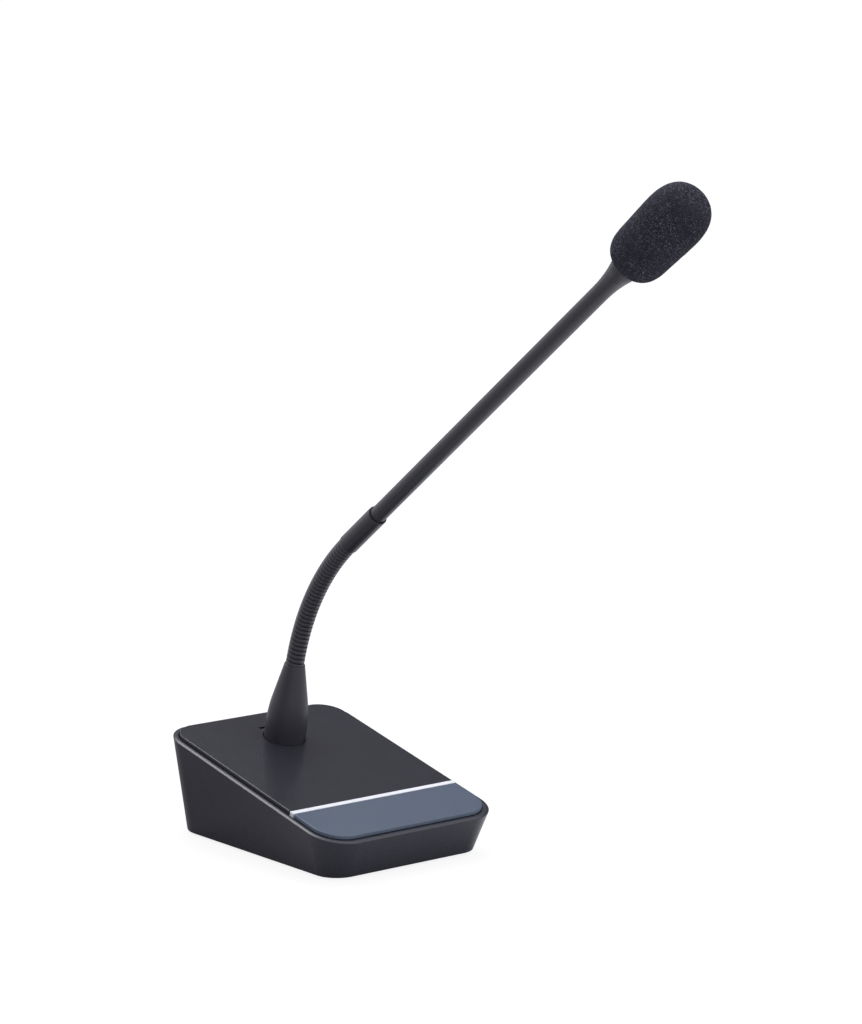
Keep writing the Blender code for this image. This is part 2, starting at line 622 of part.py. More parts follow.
def sleeve_profile():
    """Outer radius of the bottle-shaped sleeve: straight, a long soft shoulder, then a cone."""
    slope = (SLEEVE_CONE_RADIUS - SLEEVE_TOP_RADIUS) / (SLEEVE_TOP - SLEEVE_CONE_START)
    length = SLEEVE_CONE_START - SLEEVE_SHOULDER
    drop = SLEEVE_RADIUS - SLEEVE_CONE_RADIUS
    cubic = slope * length - 2.0 * drop
    points = [(SLEEVE_RADIUS - 0.2, SLEEVE_BOTTOM), (SLEEVE_RADIUS, SLEEVE_BOTTOM + 0.3),
              (SLEEVE_RADIUS, SLEEVE_SHOULDER)]
    for step in range(1, 8):
        share = step / 7
        radius = SLEEVE_RADIUS - (drop - cubic) * share ** 2 - cubic * share ** 3
        points.append((radius, SLEEVE_SHOULDER + length * share))
    points.append((SLEEVE_TOP_RADIUS + slope * 0.5, SLEEVE_TOP - 0.5))
    points.append((SLEEVE_TOP_RADIUS - 0.25, SLEEVE_TOP))
    return points


def plug(arm):
    """The arm's foot: sleeve, plug shell, insert and three pins."""
    bore = [(SPIGOT_BORE, SLEEVE_TOP), (SPIGOT_BORE, 12.0), (6.0, 9.0), (6.0, SLEEVE_BOTTOM)]
    solid("sleeve", turned(sleeve_profile() + bore, 32), black_metal(), arm)
    shell = [(7.8, -19.5), (9.0, -19.5), (9.0, BARREL_TOP), (5.7, BARREL_TOP), (5.7, 8.4), (3.0, 8.4),
             (3.0, -5.0), (7.8, -5.0)]
    solid("plug_shell", turned(shell, 32), steel(), arm)
    insert = solid("plug_insert", rod(7.5, -8.2, -5.3, 28), black_plastic(), arm)
    for index, angle in enumerate(PIN_ANGLES, 1):
        x = PIN_CIRCLE * math.cos(math.radians(angle))
        y = PIN_CIRCLE * math.sin(math.radians(angle))
        cut(insert, f"plug_hole_{index}_cutter", rod(1.3, -10.0, -4.0), arm, (x, y, 0.0))
        solid(f"plug_pin_{index}", rod(PIN_RADIUS, -18.5, -5.1), gold(), arm, (x, y, 0.0))
    stub = [(0.0, 20.0), (SPIGOT_RADIUS, 20.0), (SPIGOT_RADIUS, SLEEVE_TOP + 0.15),
            (NECK_RADIUS, SLEEVE_TOP + 0.3), (NECK_RADIUS, SLEEVE_TOP + NECK_PITCH / 2 - bead_rim()),
            (0.0, SLEEVE_TOP + NECK_PITCH / 2 - GAP / 2)]
    solid("neck_lower_end", turned(stub, 20), black_metal(), arm)


def bead_rim():
    """Distance from a neck joint's centre to the outer rim of the bead beside it."""
    return GAP / 2 + NECK_RADIUS * math.tan(BEAD_CONE)


def bead():
    """One stretch of neck, coned at both ends so that it can tilt against its neighbours."""
    rim = bead_rim()
    return turned([(0.0, GAP / 2), (NECK_RADIUS, rim), (NECK_RADIUS, NECK_PITCH - rim),
                   (0.0, NECK_PITCH - GAP / 2)], 20)


def along_arc(length):
    """Where an arc of the neck's radius ends, seen from a frame whose Z is its start direction."""
    turn = length / NECK_ARC_RADIUS
    return (0.0, -NECK_ARC_RADIUS * (1.0 - math.cos(turn)), NECK_ARC_RADIUS * math.sin(turn)), turn


def neck(arm):
    """The bending neck as a chain of beads, one frame on each joint."""
    straight = SLEEVE_TOP - NECK_ARC_START
    offset, turn = along_arc(straight + NECK_PITCH / 2)
    first = (0.0, offset[1], NECK_ARC_START + offset[2])
    joint = frame("neck_joint_1", arm, first, turn)
    step, step_turn = along_arc(NECK_PITCH)
    for index in range(1, NECK_JOINTS):
        solid(f"neck_bead_{index}", bead(), black_metal(), joint, tilt=step_turn / 2)
        joint = frame(f"neck_joint_{index + 1}", joint, step, step_turn)
    end, end_turn = along_arc(NECK_PITCH / 2)
    half = frame("boom_frame", joint, end, end_turn)
    return half


def boom(start):
    """Collar, tube and capsule on one straight axis; z = 0 is the collar's lower end."""
    rim = NECK_PITCH / 2 - bead_rim()
    stub = [(0.0, -NECK_PITCH / 2 + GAP / 2), (NECK_RADIUS, -rim), (NECK_RADIUS, -0.3),
            (SPIGOT_RADIUS, -0.15), (SPIGOT_RADIUS, 13.0), (0.0, 13.0)]
    solid("neck_upper_end", turned(stub, 20), black_metal(), start)
    collar = [(SPIGOT_BORE, 0.0), (COLLAR_RADIUS - 0.15, 0.0), (COLLAR_RADIUS, 0.15),
              (COLLAR_RADIUS, COLLAR_LENGTH - 0.25), (COLLAR_RADIUS - 0.25, COLLAR_LENGTH),
              (TUBE_RADIUS + GAP, COLLAR_LENGTH), (TUBE_RADIUS + GAP, TUBE_START - GAP),
              (SPIGOT_BORE, TUBE_START - GAP)]
    solid("collar", turned(collar, 28), black_metal(), start)
    ring = pipe(RING_RADIUS, TUBE_RADIUS + 0.15, COLLAR_LENGTH + 0.2, COLLAR_LENGTH + 0.8, 28)
    solid("collar_ring", ring, rubber(), start)
    tube = [(TUBE_BORE, TUBE_START), (TUBE_RADIUS, TUBE_START)]
    for step in range(6):
        share = step / 5
        height = FLARE_START + (FLARE_END - FLARE_START) * share
        tube.append((TUBE_RADIUS + (FLARE_RADIUS - TUBE_RADIUS) * share ** 2.25, height))
    for step in range(1, 5):
        rest = 1.0 - step / 4
        radius = TUBE_END_RADIUS - (TUBE_END_RADIUS - FLARE_RADIUS) * rest ** 2
        tube.append((radius, FLARE_END + FLARE_EASE * step / 4))
    tube += [(TUBE_END_RADIUS, TUBE_END), (CAPSULE_BORE - 0.6, TUBE_END),
             (TUBE_BORE, TUBE_END - 9.0)]
    solid("boom_tube", turned(tube, 28), black_metal(), start)
    housing = [(CAPSULE_BORE, TUBE_END + GAP), (CAPSULE_RADIUS, TUBE_END + GAP),
               (CAPSULE_RADIUS, CAPSULE_END - 3.3), (CAPSULE_BORE, CAPSULE_END - 3.3)]
    solid("capsule_housing", turned(housing, 28), black_metal(), start)
    grille = [(0.0, CAPSULE_END - 1.6), (4.6, CAPSULE_END - 1.6), (4.6, CAPSULE_END - 3.0),
              (CAPSULE_RADIUS, CAPSULE_END - 3.0), (CAPSULE_RADIUS, CAPSULE_END - 0.8),
              (CAPSULE_RADIUS - 0.8, CAPSULE_END), (0.0, CAPSULE_END)]
    solid("capsule_grille", turned(grille, 28), black_metal(), start)
    mount = pipe(5.1, 3.3, TUBE_END + 1.5, TUBE_END + 6.0)
    solid("capsule_boot", mount, rubber(), start)
    solid("capsule", rod(4.9, TUBE_END + 6.3, CAPSULE_END - 3.8, ROUND), steel(), start)


def windscreen(start):
    """The foam windscreen, closed over the capsule and open at its lower end."""
    slide = frame("windscreen_slide", start, (0.0, 0.0, FOAM_START))
    low_cap, low_power = 12.3, 3.2
    high_cap, high_power = 22.4, 3.1
    profile = []
    steps = 22
    for step in range(steps + 1):
        share = 0.5 - 0.5 * math.cos(math.pi * step / steps)
        height = FOAM_LENGTH * share
        radius = FOAM_BOTTOM_RADIUS + (FOAM_TOP_RADIUS - FOAM_BOTTOM_RADIUS) * share
        if height < low_cap:
            radius *= (1.0 - ((low_cap - height) / low_cap) ** low_power) ** (1.0 / low_power)
        rest = (height - (FOAM_LENGTH - high_cap)) / high_cap
        if rest > 0.0:
            radius *= max(0.0, 1.0 - rest ** high_power) ** (1.0 / high_power)
        if height > 0.0 and radius > FOAM_BORE + 0.5 or height > FOAM_LENGTH / 2:
            profile.append((radius, height))
    bore_end = CAPSULE_END + GAP - FOAM_START
    bore = [(0.0, bore_end), (FOAM_BORE, bore_end), (FOAM_BORE, 0.0), (FOAM_BORE + 1.2, 0.0)]
    solid("foam_windscreen", turned(profile + bore, 28), foam_grey(), slide)


def build():
    clear_scene()
    deck = frame("deck_frame", None, (0.0, DECK_FRONT, DECK_FRONT_HEIGHT), DECK_TILT)
    base_shell(deck)
    top_plate(deck)
    light_bar(deck)
    key_pivot = frame("key_pivot", deck, (0.0, HINGE_Y, HINGE_Z))
    talk_key(key_pivot)
    key_parts(deck)
    arm_socket(deck)
    output_connector()
    underside()
    arm = frame("arm_slide", deck, (0.0, SOCKET_Y, 0.0))
    plug(arm)
    start = neck(arm)
    boom(start)
    windscreen(start)


build()
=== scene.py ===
"""Looks of the gooseneck desk microphone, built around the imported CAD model.

Shapes are worked out in millimetres in the frame of the piece they belong to: the sloped deck,
the arm's sleeve or the straight boom. Each frame is a matrix into the object's own metres.
"""

import json
import math

import bmesh
import bpy
from mathutils import Matrix, Vector, noise


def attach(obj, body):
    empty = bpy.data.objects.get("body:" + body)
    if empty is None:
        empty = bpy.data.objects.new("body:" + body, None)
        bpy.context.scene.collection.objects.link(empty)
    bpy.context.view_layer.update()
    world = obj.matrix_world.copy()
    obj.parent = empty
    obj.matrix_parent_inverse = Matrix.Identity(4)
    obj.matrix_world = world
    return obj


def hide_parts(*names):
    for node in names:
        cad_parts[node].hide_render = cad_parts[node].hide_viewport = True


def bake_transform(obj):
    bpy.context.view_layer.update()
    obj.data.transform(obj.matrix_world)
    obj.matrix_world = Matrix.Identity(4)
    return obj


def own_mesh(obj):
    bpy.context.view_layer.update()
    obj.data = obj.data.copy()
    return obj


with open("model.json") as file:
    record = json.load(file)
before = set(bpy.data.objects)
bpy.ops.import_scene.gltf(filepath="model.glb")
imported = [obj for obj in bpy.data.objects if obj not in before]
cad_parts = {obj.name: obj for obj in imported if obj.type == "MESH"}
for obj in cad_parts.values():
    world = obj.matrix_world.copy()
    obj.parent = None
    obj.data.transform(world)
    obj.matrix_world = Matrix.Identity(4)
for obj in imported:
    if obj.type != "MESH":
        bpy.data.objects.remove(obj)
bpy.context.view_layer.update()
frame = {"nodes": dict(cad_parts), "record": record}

MM = 0.001

# Base and deck: the CAD model's sizes, but for a slightly narrower chamfer and light bar
PLATE_HALF_WIDTH = 46.85
DECK_FRONT = -65.3
DECK_REAR = 58.3
DECK_FRONT_HEIGHT = 21.0
DECK_SLOPE = 0.2288
DECK_TILT = math.atan(DECK_SLOPE)
DECK_LENGTH = (DECK_REAR - DECK_FRONT) / math.cos(DECK_TILT)
PLATE_FRONT_RADIUS = 13.7
PLATE_REAR_RADIUS = 12.0
WALL_BOTTOM = 1.0
FOOT_HALF_WIDTH = 43.4
FOOT_HALF_DEPTH = 61.3
FOOT_FRONT_RADIUS = 11.2
FOOT_REAR_RADIUS = 17.0
RIM_WIDTH = 3.15
RIM_DROP = 2.05
CHAMFER_INNER = 1.88
CHAMFER_DROP = 1.65
WALL = 2.4
RECESS_GAP = 0.5
RECESS_DEPTH = 2.9
DECK_THICKNESS = 1.7
KEY_LENGTH = 28.4
BAR_FRONT = 28.76
BAR_REAR = 31.44
PLATE_START = 31.85
INSERT_THICKNESS = 2.6
KEY_THICKNESS = 1.6
HINGE_Y = 23.9
HINGE_Z = -5.2
SOCKET_Y = 99.7
PLATE_HOLE_RADIUS = 10.12
TAB_HALF_WIDTH = 5.0
TAB_REAR = 12.7

TAB_DEPTH = 11.5
LAMP_SLOT_HALF_WIDTH = 29.6
INSERT_GROWTH = 0.12            # how far plate and key reach into the gap around them
CORNER_EASE = 0.45              # rounding of the top edges of plate and key
HINGE_PIN_HOLE = 1.1
HINGE_EYE = 2.4

# Outlet in the rear wall
CONNECTOR_X = -20.0
CONNECTOR_Z = 27.0
CONNECTOR_SCREWS = ((-9.5, 12.0), (9.5, -12.0))
CONNECTOR_HOLE = 11.2
SCREW_HOLE = 1.35
REAR_WALL = 61.35

# Springs: node, joint, place along the deck, ends below the deck, radius of the coil and of its
# wire, and the share of its length that is left when the joint is at its limit
SPRINGS = (
    ("key_spring", "talk_key_press", 12.8, (-9.3, -1.9), (3.0, 0.35), 0.92),
    ("latch_spring", "latch_press", SOCKET_Y + 11.9, (-17.5, -11.8), (1.1, 0.25), 0.71),
)
SPRING_TURNS = 5

# Arm
SLEEVE_BOTTOM = -2.6
SLEEVE_TOP = 37.3
SLEEVE_RADIUS = 9.8
SLEEVE_SHOULDER = 2.0
SLEEVE_CONE_START = 20.0
SLEEVE_CONE_RADIUS = 8.374
SLEEVE_TOP_RADIUS = 4.8
NECK_ARC_START = 34.75
NECK_ARC_RADIUS = 112.9
NECK_VISIBLE = 76.0
NECK_JOINTS = 10
NECK_PITCH = NECK_VISIBLE / NECK_JOINTS
NECK_CORE = 3.75                # radius where the neck runs inside the sleeve and the collar
NECK_BORE = 2.8
WIRE_PITCH = 2.25
WIRE_RADIUS = 4.36
GROOVE_DEPTH = 0.62
COLLAR_LENGTH = 26.6
COLLAR_RADIUS = 4.72
RING_RADIUS = 4.4
TUBE_RADIUS = 3.93
TUBE_BORE = 3.1
TUBE_START = 13.6
FLARE_START = 211.3
FLARE_END = 228.5
FLARE_EASE = 4.7
FLARE_RADIUS = 5.66
TUBE_END_RADIUS = 6.2
TUBE_END = 236.5
CAPSULE_END = 256.3
FOAM_START = 233.8
FOAM_LENGTH = 48.9
FOAM_BOTTOM_RADIUS = 12.44
FOAM_TOP_RADIUS = 14.12
FOAM_BORE = 6.5


def shift(x, y, z):
    return Matrix.Translation(Vector((x, y, z)) * MM)


def tilt(angle):
    return Matrix.Rotation(angle, 4, "X")


def along_neck(distance):
    """Frame on the neck's centreline at a distance from the deck, with Z along the line."""
    arc = min(max(distance - NECK_ARC_START, 0.0), SLEEVE_TOP + NECK_VISIBLE - NECK_ARC_START)
    turn = arc / NECK_ARC_RADIUS
    y = -NECK_ARC_RADIUS * (1.0 - math.cos(turn))
    z = min(distance, NECK_ARC_START) + NECK_ARC_RADIUS * math.sin(turn)
    beyond = max(distance - SLEEVE_TOP - NECK_VISIBLE, 0.0)
    return ARM @ shift(0.0, y, z) @ tilt(turn) @ shift(0.0, 0.0, beyond)


WORLD = Matrix.Identity(4)
DECK = shift(0.0, DECK_FRONT, DECK_FRONT_HEIGHT) @ tilt(DECK_TILT)
ARM = DECK @ shift(0.0, SOCKET_Y, 0.0)
BOOM = along_neck(SLEEVE_TOP + NECK_VISIBLE)


# ---------------------------------------------------------------- materials

class Graph:
    """A node material under construction, with a Principled shader already in place."""

    def __init__(self, name, roughness, metallic=0.0, specular=0.5):
        self.material = bpy.data.materials.new(name)
        self.material.use_nodes = True
        self.tree = self.material.node_tree
        self.shader = self.tree.nodes["Principled BSDF"]
        self.shader.inputs["Roughness"].default_value = roughness
        self.shader.inputs["Metallic"].default_value = metallic
        self.shader.inputs["Specular IOR Level"].default_value = specular
        coordinates = self.tree.nodes.new("ShaderNodeTexCoord")
        self.place = coordinates.outputs["Object"]

    def link(self, output, socket):
        self.tree.links.new(output, socket)

    def stretched(self, scale):
        """Object coordinates scaled by a different amount along each axis."""
        mapping = self.tree.nodes.new("ShaderNodeMapping")
        mapping.inputs["Scale"].default_value = scale
        self.link(self.place, mapping.inputs["Vector"])
        return mapping.outputs["Vector"]

    def noise(self, scale, detail=2.0, roughness=0.5, place=None):
        node = self.tree.nodes.new("ShaderNodeTexNoise")
        node.inputs["Scale"].default_value = scale
        node.inputs["Detail"].default_value = detail
        node.inputs["Roughness"].default_value = roughness
        self.link(place or self.place, node.inputs["Vector"])
        return node.outputs["Fac"]

    def cells(self, scale, feature="F1", output="Distance"):
        node = self.tree.nodes.new("ShaderNodeTexVoronoi")
        node.feature = feature
        node.inputs["Scale"].default_value = scale
        self.link(self.place, node.inputs["Vector"])
        return node.outputs[output]

    def spread(self, value, low, high, low_out=0.0, high_out=1.0):
        node = self.tree.nodes.new("ShaderNodeMapRange")
        for key, number in (("From Min", low), ("From Max", high), ("To Min", low_out),
                            ("To Max", high_out)):
            node.inputs[key].default_value = number
        self.link(value, node.inputs["Value"])
        return node.outputs["Result"]

    def mix(self, factor, first, second):
        """Colour between two, each a tuple or another node's output."""
        node = self.tree.nodes.new("ShaderNodeMix")
        node.data_type = "RGBA"
        self.link(factor, node.inputs["Factor"])
        for colour, socket in ((first, node.inputs[6]), (second, node.inputs[7])):
            if isinstance(colour, tuple):
                socket.default_value = (*colour, 1.0)
            else:
                self.link(colour, socket)
        return node.outputs[2]

    def math(self, operation, first, second):
        node = self.tree.nodes.new("ShaderNodeMath")
        node.operation = operation
        for value, socket in ((first, node.inputs[0]), (second, node.inputs[1])):
            if isinstance(value, (int, float)):
                socket.default_value = value
            else:
                self.link(value, socket)
        return node.outputs["Value"]

    def measure(self, operation, other=None):
        """A number taken from the place: its length, or its dot product with a direction."""
        node = self.tree.nodes.new("ShaderNodeVectorMath")
        node.operation = operation
        self.link(self.place, node.inputs[0])
        if other:
            node.inputs[1].default_value = other
        return node.outputs["Value"]

    def colour(self, output):
        self.link(output, self.shader.inputs["Base Color"])

    def roughness(self, output):
        self.link(output, self.shader.inputs["Roughness"])

    def bump(self, height, depth):
        """Raise the surface by a height field from 0 to 1, times a depth in millimetres."""
        node = self.tree.nodes.new("ShaderNodeBump")
        node.inputs["Strength"].default_value = 1.0
        node.inputs["Distance"].default_value = depth * MM
        self.link(height, node.inputs["Height"])
        self.link(node.outputs["Normal"], self.shader.inputs["Normal"])


def moulded(name, dark, light, rough, grain_scale, grain_depth, specular=0.5):
    """Satin moulded plastic: a fine even grain, a faint mottle, and slightly uneven gloss."""
    graph = Graph(name, rough, specular=specular)
    grain = graph.noise(grain_scale, 3.0, 0.6)
    mottle = graph.noise(grain_scale * 0.04, 2.0)
    speck = graph.math("ADD", graph.math("MULTIPLY", grain, 0.9), graph.math("MULTIPLY", mottle, 0.1))
    graph.colour(graph.mix(graph.spread(speck, 0.35, 0.65), dark, light))
    graph.roughness(graph.spread(speck, 0.35, 0.65, rough - 0.04, rough + 0.05))
    graph.bump(grain, grain_depth)
    return graph.material


def coated(name, dark, light, rough, specular=0.5, grain=0.003):
    """Metal under a smooth satin black coat: fine powder, and a very slightly uneven gloss."""
    graph = Graph(name, rough, specular=specular)
    powder = graph.noise(4200.0, 2.0)
    cloud = graph.noise(120.0, 2.0)
    graph.colour(graph.mix(graph.spread(powder, 0.3, 0.7), dark, light))
    graph.roughness(graph.spread(cloud, 0.3, 0.7, rough - 0.02, rough + 0.03))
    graph.bump(powder, grain)
    return graph.material


def wound(name, dark, light, rough):
    """The coated wire of the neck, duller in the grooves between its turns, where painted shade makes it
    nearly black.
    """
    graph = Graph(name, rough, specular=0.5)
    attribute = graph.tree.nodes.new("ShaderNodeAttribute")
    attribute.attribute_name = "groove"
    groove = attribute.outputs["Fac"]
    powder = graph.noise(4200.0, 2.0)
    coat = graph.mix(graph.spread(powder, 0.3, 0.7), dark, light)
    # painted shade: the groove mask darkens the coat to nearly black between the turns
    graph.colour(graph.mix(groove, coat, (0.0035, 0.0035, 0.0045)))
    graph.roughness(graph.spread(groove, 0.0, 1.0, rough, 0.95))
    graph.bump(powder, 0.002)
    return graph.material


def metal(name, dark, light, rough):
    """Bare or plated metal with fine tooling marks that run along Z."""
    graph = Graph(name, rough, 1.0)
    marks = graph.noise(3200.0, 4.0, 0.65, graph.stretched((1.0, 1.0, 0.06)))
    tone = graph.noise(140.0, 2.0)
    graph.colour(graph.mix(graph.spread(tone, 0.3, 0.7), dark, light))
    graph.roughness(graph.spread(marks, 0.3, 0.7, rough - 0.03, rough + 0.05))
    graph.bump(marks, 0.003)
    return graph.material


def rubber(name, dark, light):
    """Matt rubber with a fine grain and a little dust."""
    graph = Graph(name, 0.78, specular=0.35)
    grain = graph.noise(1600.0, 3.0, 0.6)
    dust = graph.noise(90.0, 3.0)
    graph.colour(graph.mix(graph.spread(dust, 0.35, 0.7), dark, light))
    graph.roughness(graph.spread(dust, 0.3, 0.7, 0.70, 0.88))
    graph.bump(grain, 0.05)
    return graph.material


def light_guide(name):
    """White diffusing acrylic, faintly uneven."""
    graph = Graph(name, 0.28)
    cloud = graph.noise(220.0, 2.0)
    fine = graph.noise(2500.0, 2.0)
    graph.colour(graph.mix(graph.spread(cloud, 0.3, 0.7), (0.60, 0.61, 0.63), (0.66, 0.67, 0.69)))
    graph.roughness(graph.spread(fine, 0.3, 0.7, 0.24, 0.34))
    graph.shader.inputs["Subsurface Weight"].default_value = 0.3
    graph.shader.inputs["Subsurface Radius"].default_value = (0.002, 0.002, 0.002)
    graph.bump(fine, 0.006)
    return graph.material


def lens(name):
    """The yellowish clear face of a small lamp."""
    graph = Graph(name, 0.18)
    spot = graph.cells(900.0)
    graph.colour(graph.mix(graph.spread(spot, 0.0, 0.8), (0.92, 0.88, 0.45), (0.80, 0.80, 0.76)))
    graph.roughness(graph.spread(spot, 0.0, 0.8, 0.12, 0.26))
    graph.bump(spot, 0.01)
    return graph.material


def laminate(name):
    """Green solder mask with copper tracks showing through as a lighter pattern."""
    graph = Graph(name, 0.42)
    tracks = graph.cells(260.0, "DISTANCE_TO_EDGE")
    line = graph.spread(tracks, 0.04, 0.10, 1.0, 0.0)
    weave = graph.noise(2400.0, 2.0)
    mask = graph.mix(graph.spread(weave, 0.3, 0.7), (0.012, 0.085, 0.040), (0.018, 0.115, 0.055))
    graph.colour(graph.mix(line, mask, (0.035, 0.190, 0.085)))
    graph.roughness(graph.spread(line, 0.0, 1.0, 0.46, 0.34))
    graph.bump(line, 0.03)
    return graph.material


def foam(name):
    """Open-cell foam: matt dark cell walls, pores with painted shade, and sparse painted glints where
    cell edges would catch light.
    """
    graph = Graph(name, 0.85, specular=0.14)
    attribute = graph.tree.nodes.new("ShaderNodeAttribute")
    attribute.attribute_name = "pore"
    pore = attribute.outputs["Fac"]
    fine = graph.noise(5200.0, 2.0, 0.6)
    # painted glints: sparse light specks standing for highlights on cell edges
    glint = graph.spread(graph.cells(2600.0, "F1", "Color"), 0.66, 0.90)
    patch = graph.spread(graph.noise(75.0, 2.0), 0.26, 0.52)
    bright = graph.math("MULTIPLY", glint, patch)
    wall = graph.mix(graph.spread(fine, 0.3, 0.7), (0.0190, 0.0190, 0.0270), (0.0340, 0.0340, 0.0465))
    # edge is the wall colour with the painted glints mixed in
    edge = graph.mix(bright, wall, (0.155, 0.158, 0.180))
    # painted shade: the pore mask darkens the colour inside the pores
    graph.colour(graph.mix(pore, edge, (0.0120, 0.0120, 0.0170)))
    graph.roughness(graph.spread(bright, 0.0, 1.0, 0.9, 0.6))
    graph.bump(fine, 0.06)
    return graph.material


LOOKS = {
    "housing_plastic": moulded("housing_plastic", (0.0175, 0.0175, 0.0250), (0.0230, 0.0230, 0.0315),
                               0.30, 2600.0, 0.018, 0.26),
    "plate_plastic": moulded("plate_plastic", (0.0170, 0.0170, 0.0215), (0.0240, 0.0240, 0.0300),
                             0.20, 3600.0, 0.005, 0.30),
    "key_plastic": moulded("key_plastic", (0.049, 0.067, 0.098), (0.060, 0.080, 0.114),
                           0.32, 3600.0, 0.008, 0.36),
    "light_guide": light_guide("light_guide"),
    "led_lens": lens("led_lens"),
    "pad_rubber": rubber("pad_rubber", (0.012, 0.012, 0.013), (0.030, 0.030, 0.031)),
    "seal_rubber": rubber("seal_rubber", (0.006, 0.006, 0.007), (0.014, 0.014, 0.015)),
    "zinc_steel": metal("zinc_steel", (0.46, 0.46, 0.48), (0.62, 0.62, 0.64), 0.34),
    "screw_steel": metal("screw_steel", (0.16, 0.16, 0.17), (0.24, 0.24, 0.25), 0.32),
    "plug_nickel": metal("plug_nickel", (0.58, 0.57, 0.55), (0.70, 0.69, 0.66), 0.22),
    "board_laminate": laminate("board_laminate"),
    "insulator": moulded("insulator", (0.018, 0.018, 0.019), (0.030, 0.030, 0.031),
                         0.55, 2200.0, 0.03),
    "contact_gold": metal("contact_gold", (0.78, 0.54, 0.20), (0.90, 0.66, 0.28), 0.20),
    "connector_black": coated("connector_black", (0.015, 0.015, 0.018), (0.025, 0.025, 0.029), 0.36),
    "sleeve_black": coated("sleeve_black", (0.0190, 0.0190, 0.0250), (0.0230, 0.0230, 0.0295),
                           0.40, 0.42, 0.0008),
    "tube_black": coated("tube_black", (0.0155, 0.0155, 0.0200), (0.0195, 0.0195, 0.0250),
                         0.33, 0.45, 0.0015),
    "neck_steel": wound("neck_steel", (0.0250, 0.0250, 0.0315), (0.0335, 0.0335, 0.0410), 0.30),
    "capsule_metal": metal("capsule_metal", (0.55, 0.55, 0.56), (0.68, 0.68, 0.69), 0.28),
    "foam": foam("foam"),
}


# ---------------------------------------------------------------- shapes

def piece(name, bm, look, place, body, replaces=(), sharp=35.0, weighted=True):
    """A finished piece: shaded smooth with hard edges kept, in its material, on its body."""
    bmesh.ops.recalc_face_normals(bm, faces=bm.faces)
    bmesh.ops.scale(bm, vec=(MM, MM, MM), verts=bm.verts)
    bmesh.ops.transform(bm, matrix=place, verts=bm.verts)
    mesh = bpy.data.meshes.new(name)
    bm.to_mesh(mesh)
    bm.free()
    mesh.shade_smooth()
    mesh.set_sharp_from_angle(angle=math.radians(sharp))
    mesh.materials.append(LOOKS[look])
    made = bpy.data.objects.new(name, mesh)
    bpy.context.scene.collection.objects.link(made)
    if weighted:
        made.modifiers.new("even_normals", "WEIGHTED_NORMAL").keep_sharp = True
    if body:
        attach(made, body)
    if replaces:
        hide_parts(*replaces)
    return made


def outline(half_width, front, rear, front_radius, rear_radius, steps=16, along=1):
    """A rectangle with rounded corners, anticlockwise from its front left corner.

    Each straight side is divided into as many stretches as along says.
    """
    corners = (
        (-half_width + front_radius, front + front_radius, front_radius, 180),
        (half_width - front_radius, front + front_radius, front_radius, 270),
        (half_width - rear_radius, rear - rear_radius, rear_radius, 0),
        (-half_width + rear_radius, rear - rear_radius, rear_radius, 90),
    )
    points = []
    for x, y, radius, start in corners:
        for step in range(steps + 1):
            angle = math.radians(start + 90.0 * step / steps)
            points.append((x + radius * math.cos(angle), y + radius * math.sin(angle)))
    if along == 1:
        return points
    divided = []
    for index, point in enumerate(points):
        divided.append(point)
        if index % (steps + 1) == steps:
            following = points[(index + 1) % len(points)]
            for step in range(1, along):
                share = step / along
                divided.append((point[0] + (following[0] - point[0]) * share,
                                point[1] + (following[1] - point[1]) * share))
    return divided


def deck_height(y):
    return DECK_FRONT_HEIGHT + DECK_SLOPE * (y - DECK_FRONT)


def loft(rings):
    """A closed solid through rings with equal numbers of points."""
    bm = bmesh.new()
    rows = [[bm.verts.new(point) for point in ring] for ring in rings]
    count = len(rings[0])
    for low, high in zip(rows, rows[1:]):
        for i in range(count):
            j = (i + 1) % count
            bm.faces.new((low[i], low[j], high[j], high[i]))
    bm.faces.new(rows[0][::-1])
    bm.faces.new(rows[-1])
    return bm


def prism(points, low, high):
    return loft([[(x, y, z) for x, y in points] for z in (low, high)])


def block(x_range, y_range, z_range):
    (x0, x1), (y0, y1), (z0, z1) = x_range, y_range, z_range
    return prism([(x0, y0), (x1, y0), (x1, y1), (x0, y1)], z0, z1)


def turned(profile, sides=96):
    """A closed solid turned about Z from a closed profile of (radius, height) points."""
    bm = bmesh.new()
    columns = []
    for radius, height in profile:
        if radius < 1e-6:
            columns.append([bm.verts.new((0.0, 0.0, height))] * sides)
            continue
        column = []
        for side in range(sides):
            angle = 2.0 * math.pi * side / sides
            column.append(bm.verts.new((radius * math.cos(angle), radius * math.sin(angle), height)))
        columns.append(column)
    for a, b in zip(columns, columns[1:] + columns[:1]):
        for side in range(sides):
            following = (side + 1) % sides
            corners = []
            for vert in (a[side], a[following], b[following], b[side]):
                if vert not in corners:
                    corners.append(vert)
            if len(corners) > 2:
                bm.faces.new(corners)
    return bm


def rod(radius, low, high, sides=96):
    return turned([(0.0, low), (radius, low), (radius, high), (0.0, high)], sides)


def eased(profile, radius, steps=4):
    """Round each marked corner of a profile; a point is (r, z) or (r, z, True) to be rounded."""
    points = []
    count = len(profile)
    for index, corner in enumerate(profile):
        here = Vector(corner[:2])
        if len(corner) < 3:
            points.append(tuple(here))
            continue
        before = Vector(profile[index - 1][:2]) - here
        after = Vector(profile[(index + 1) % count][:2]) - here
        reach = corner[2] if corner[2] is not True else radius
        first = here + before.normalized() * min(reach, before.length * 0.49)
        last = here + after.normalized() * min(reach, after.length * 0.49)
        for step in range(steps + 1):
            share = step / steps
            point = first.lerp(here, share).lerp(here.lerp(last, share), share)
            points.append(tuple(point))
    return points


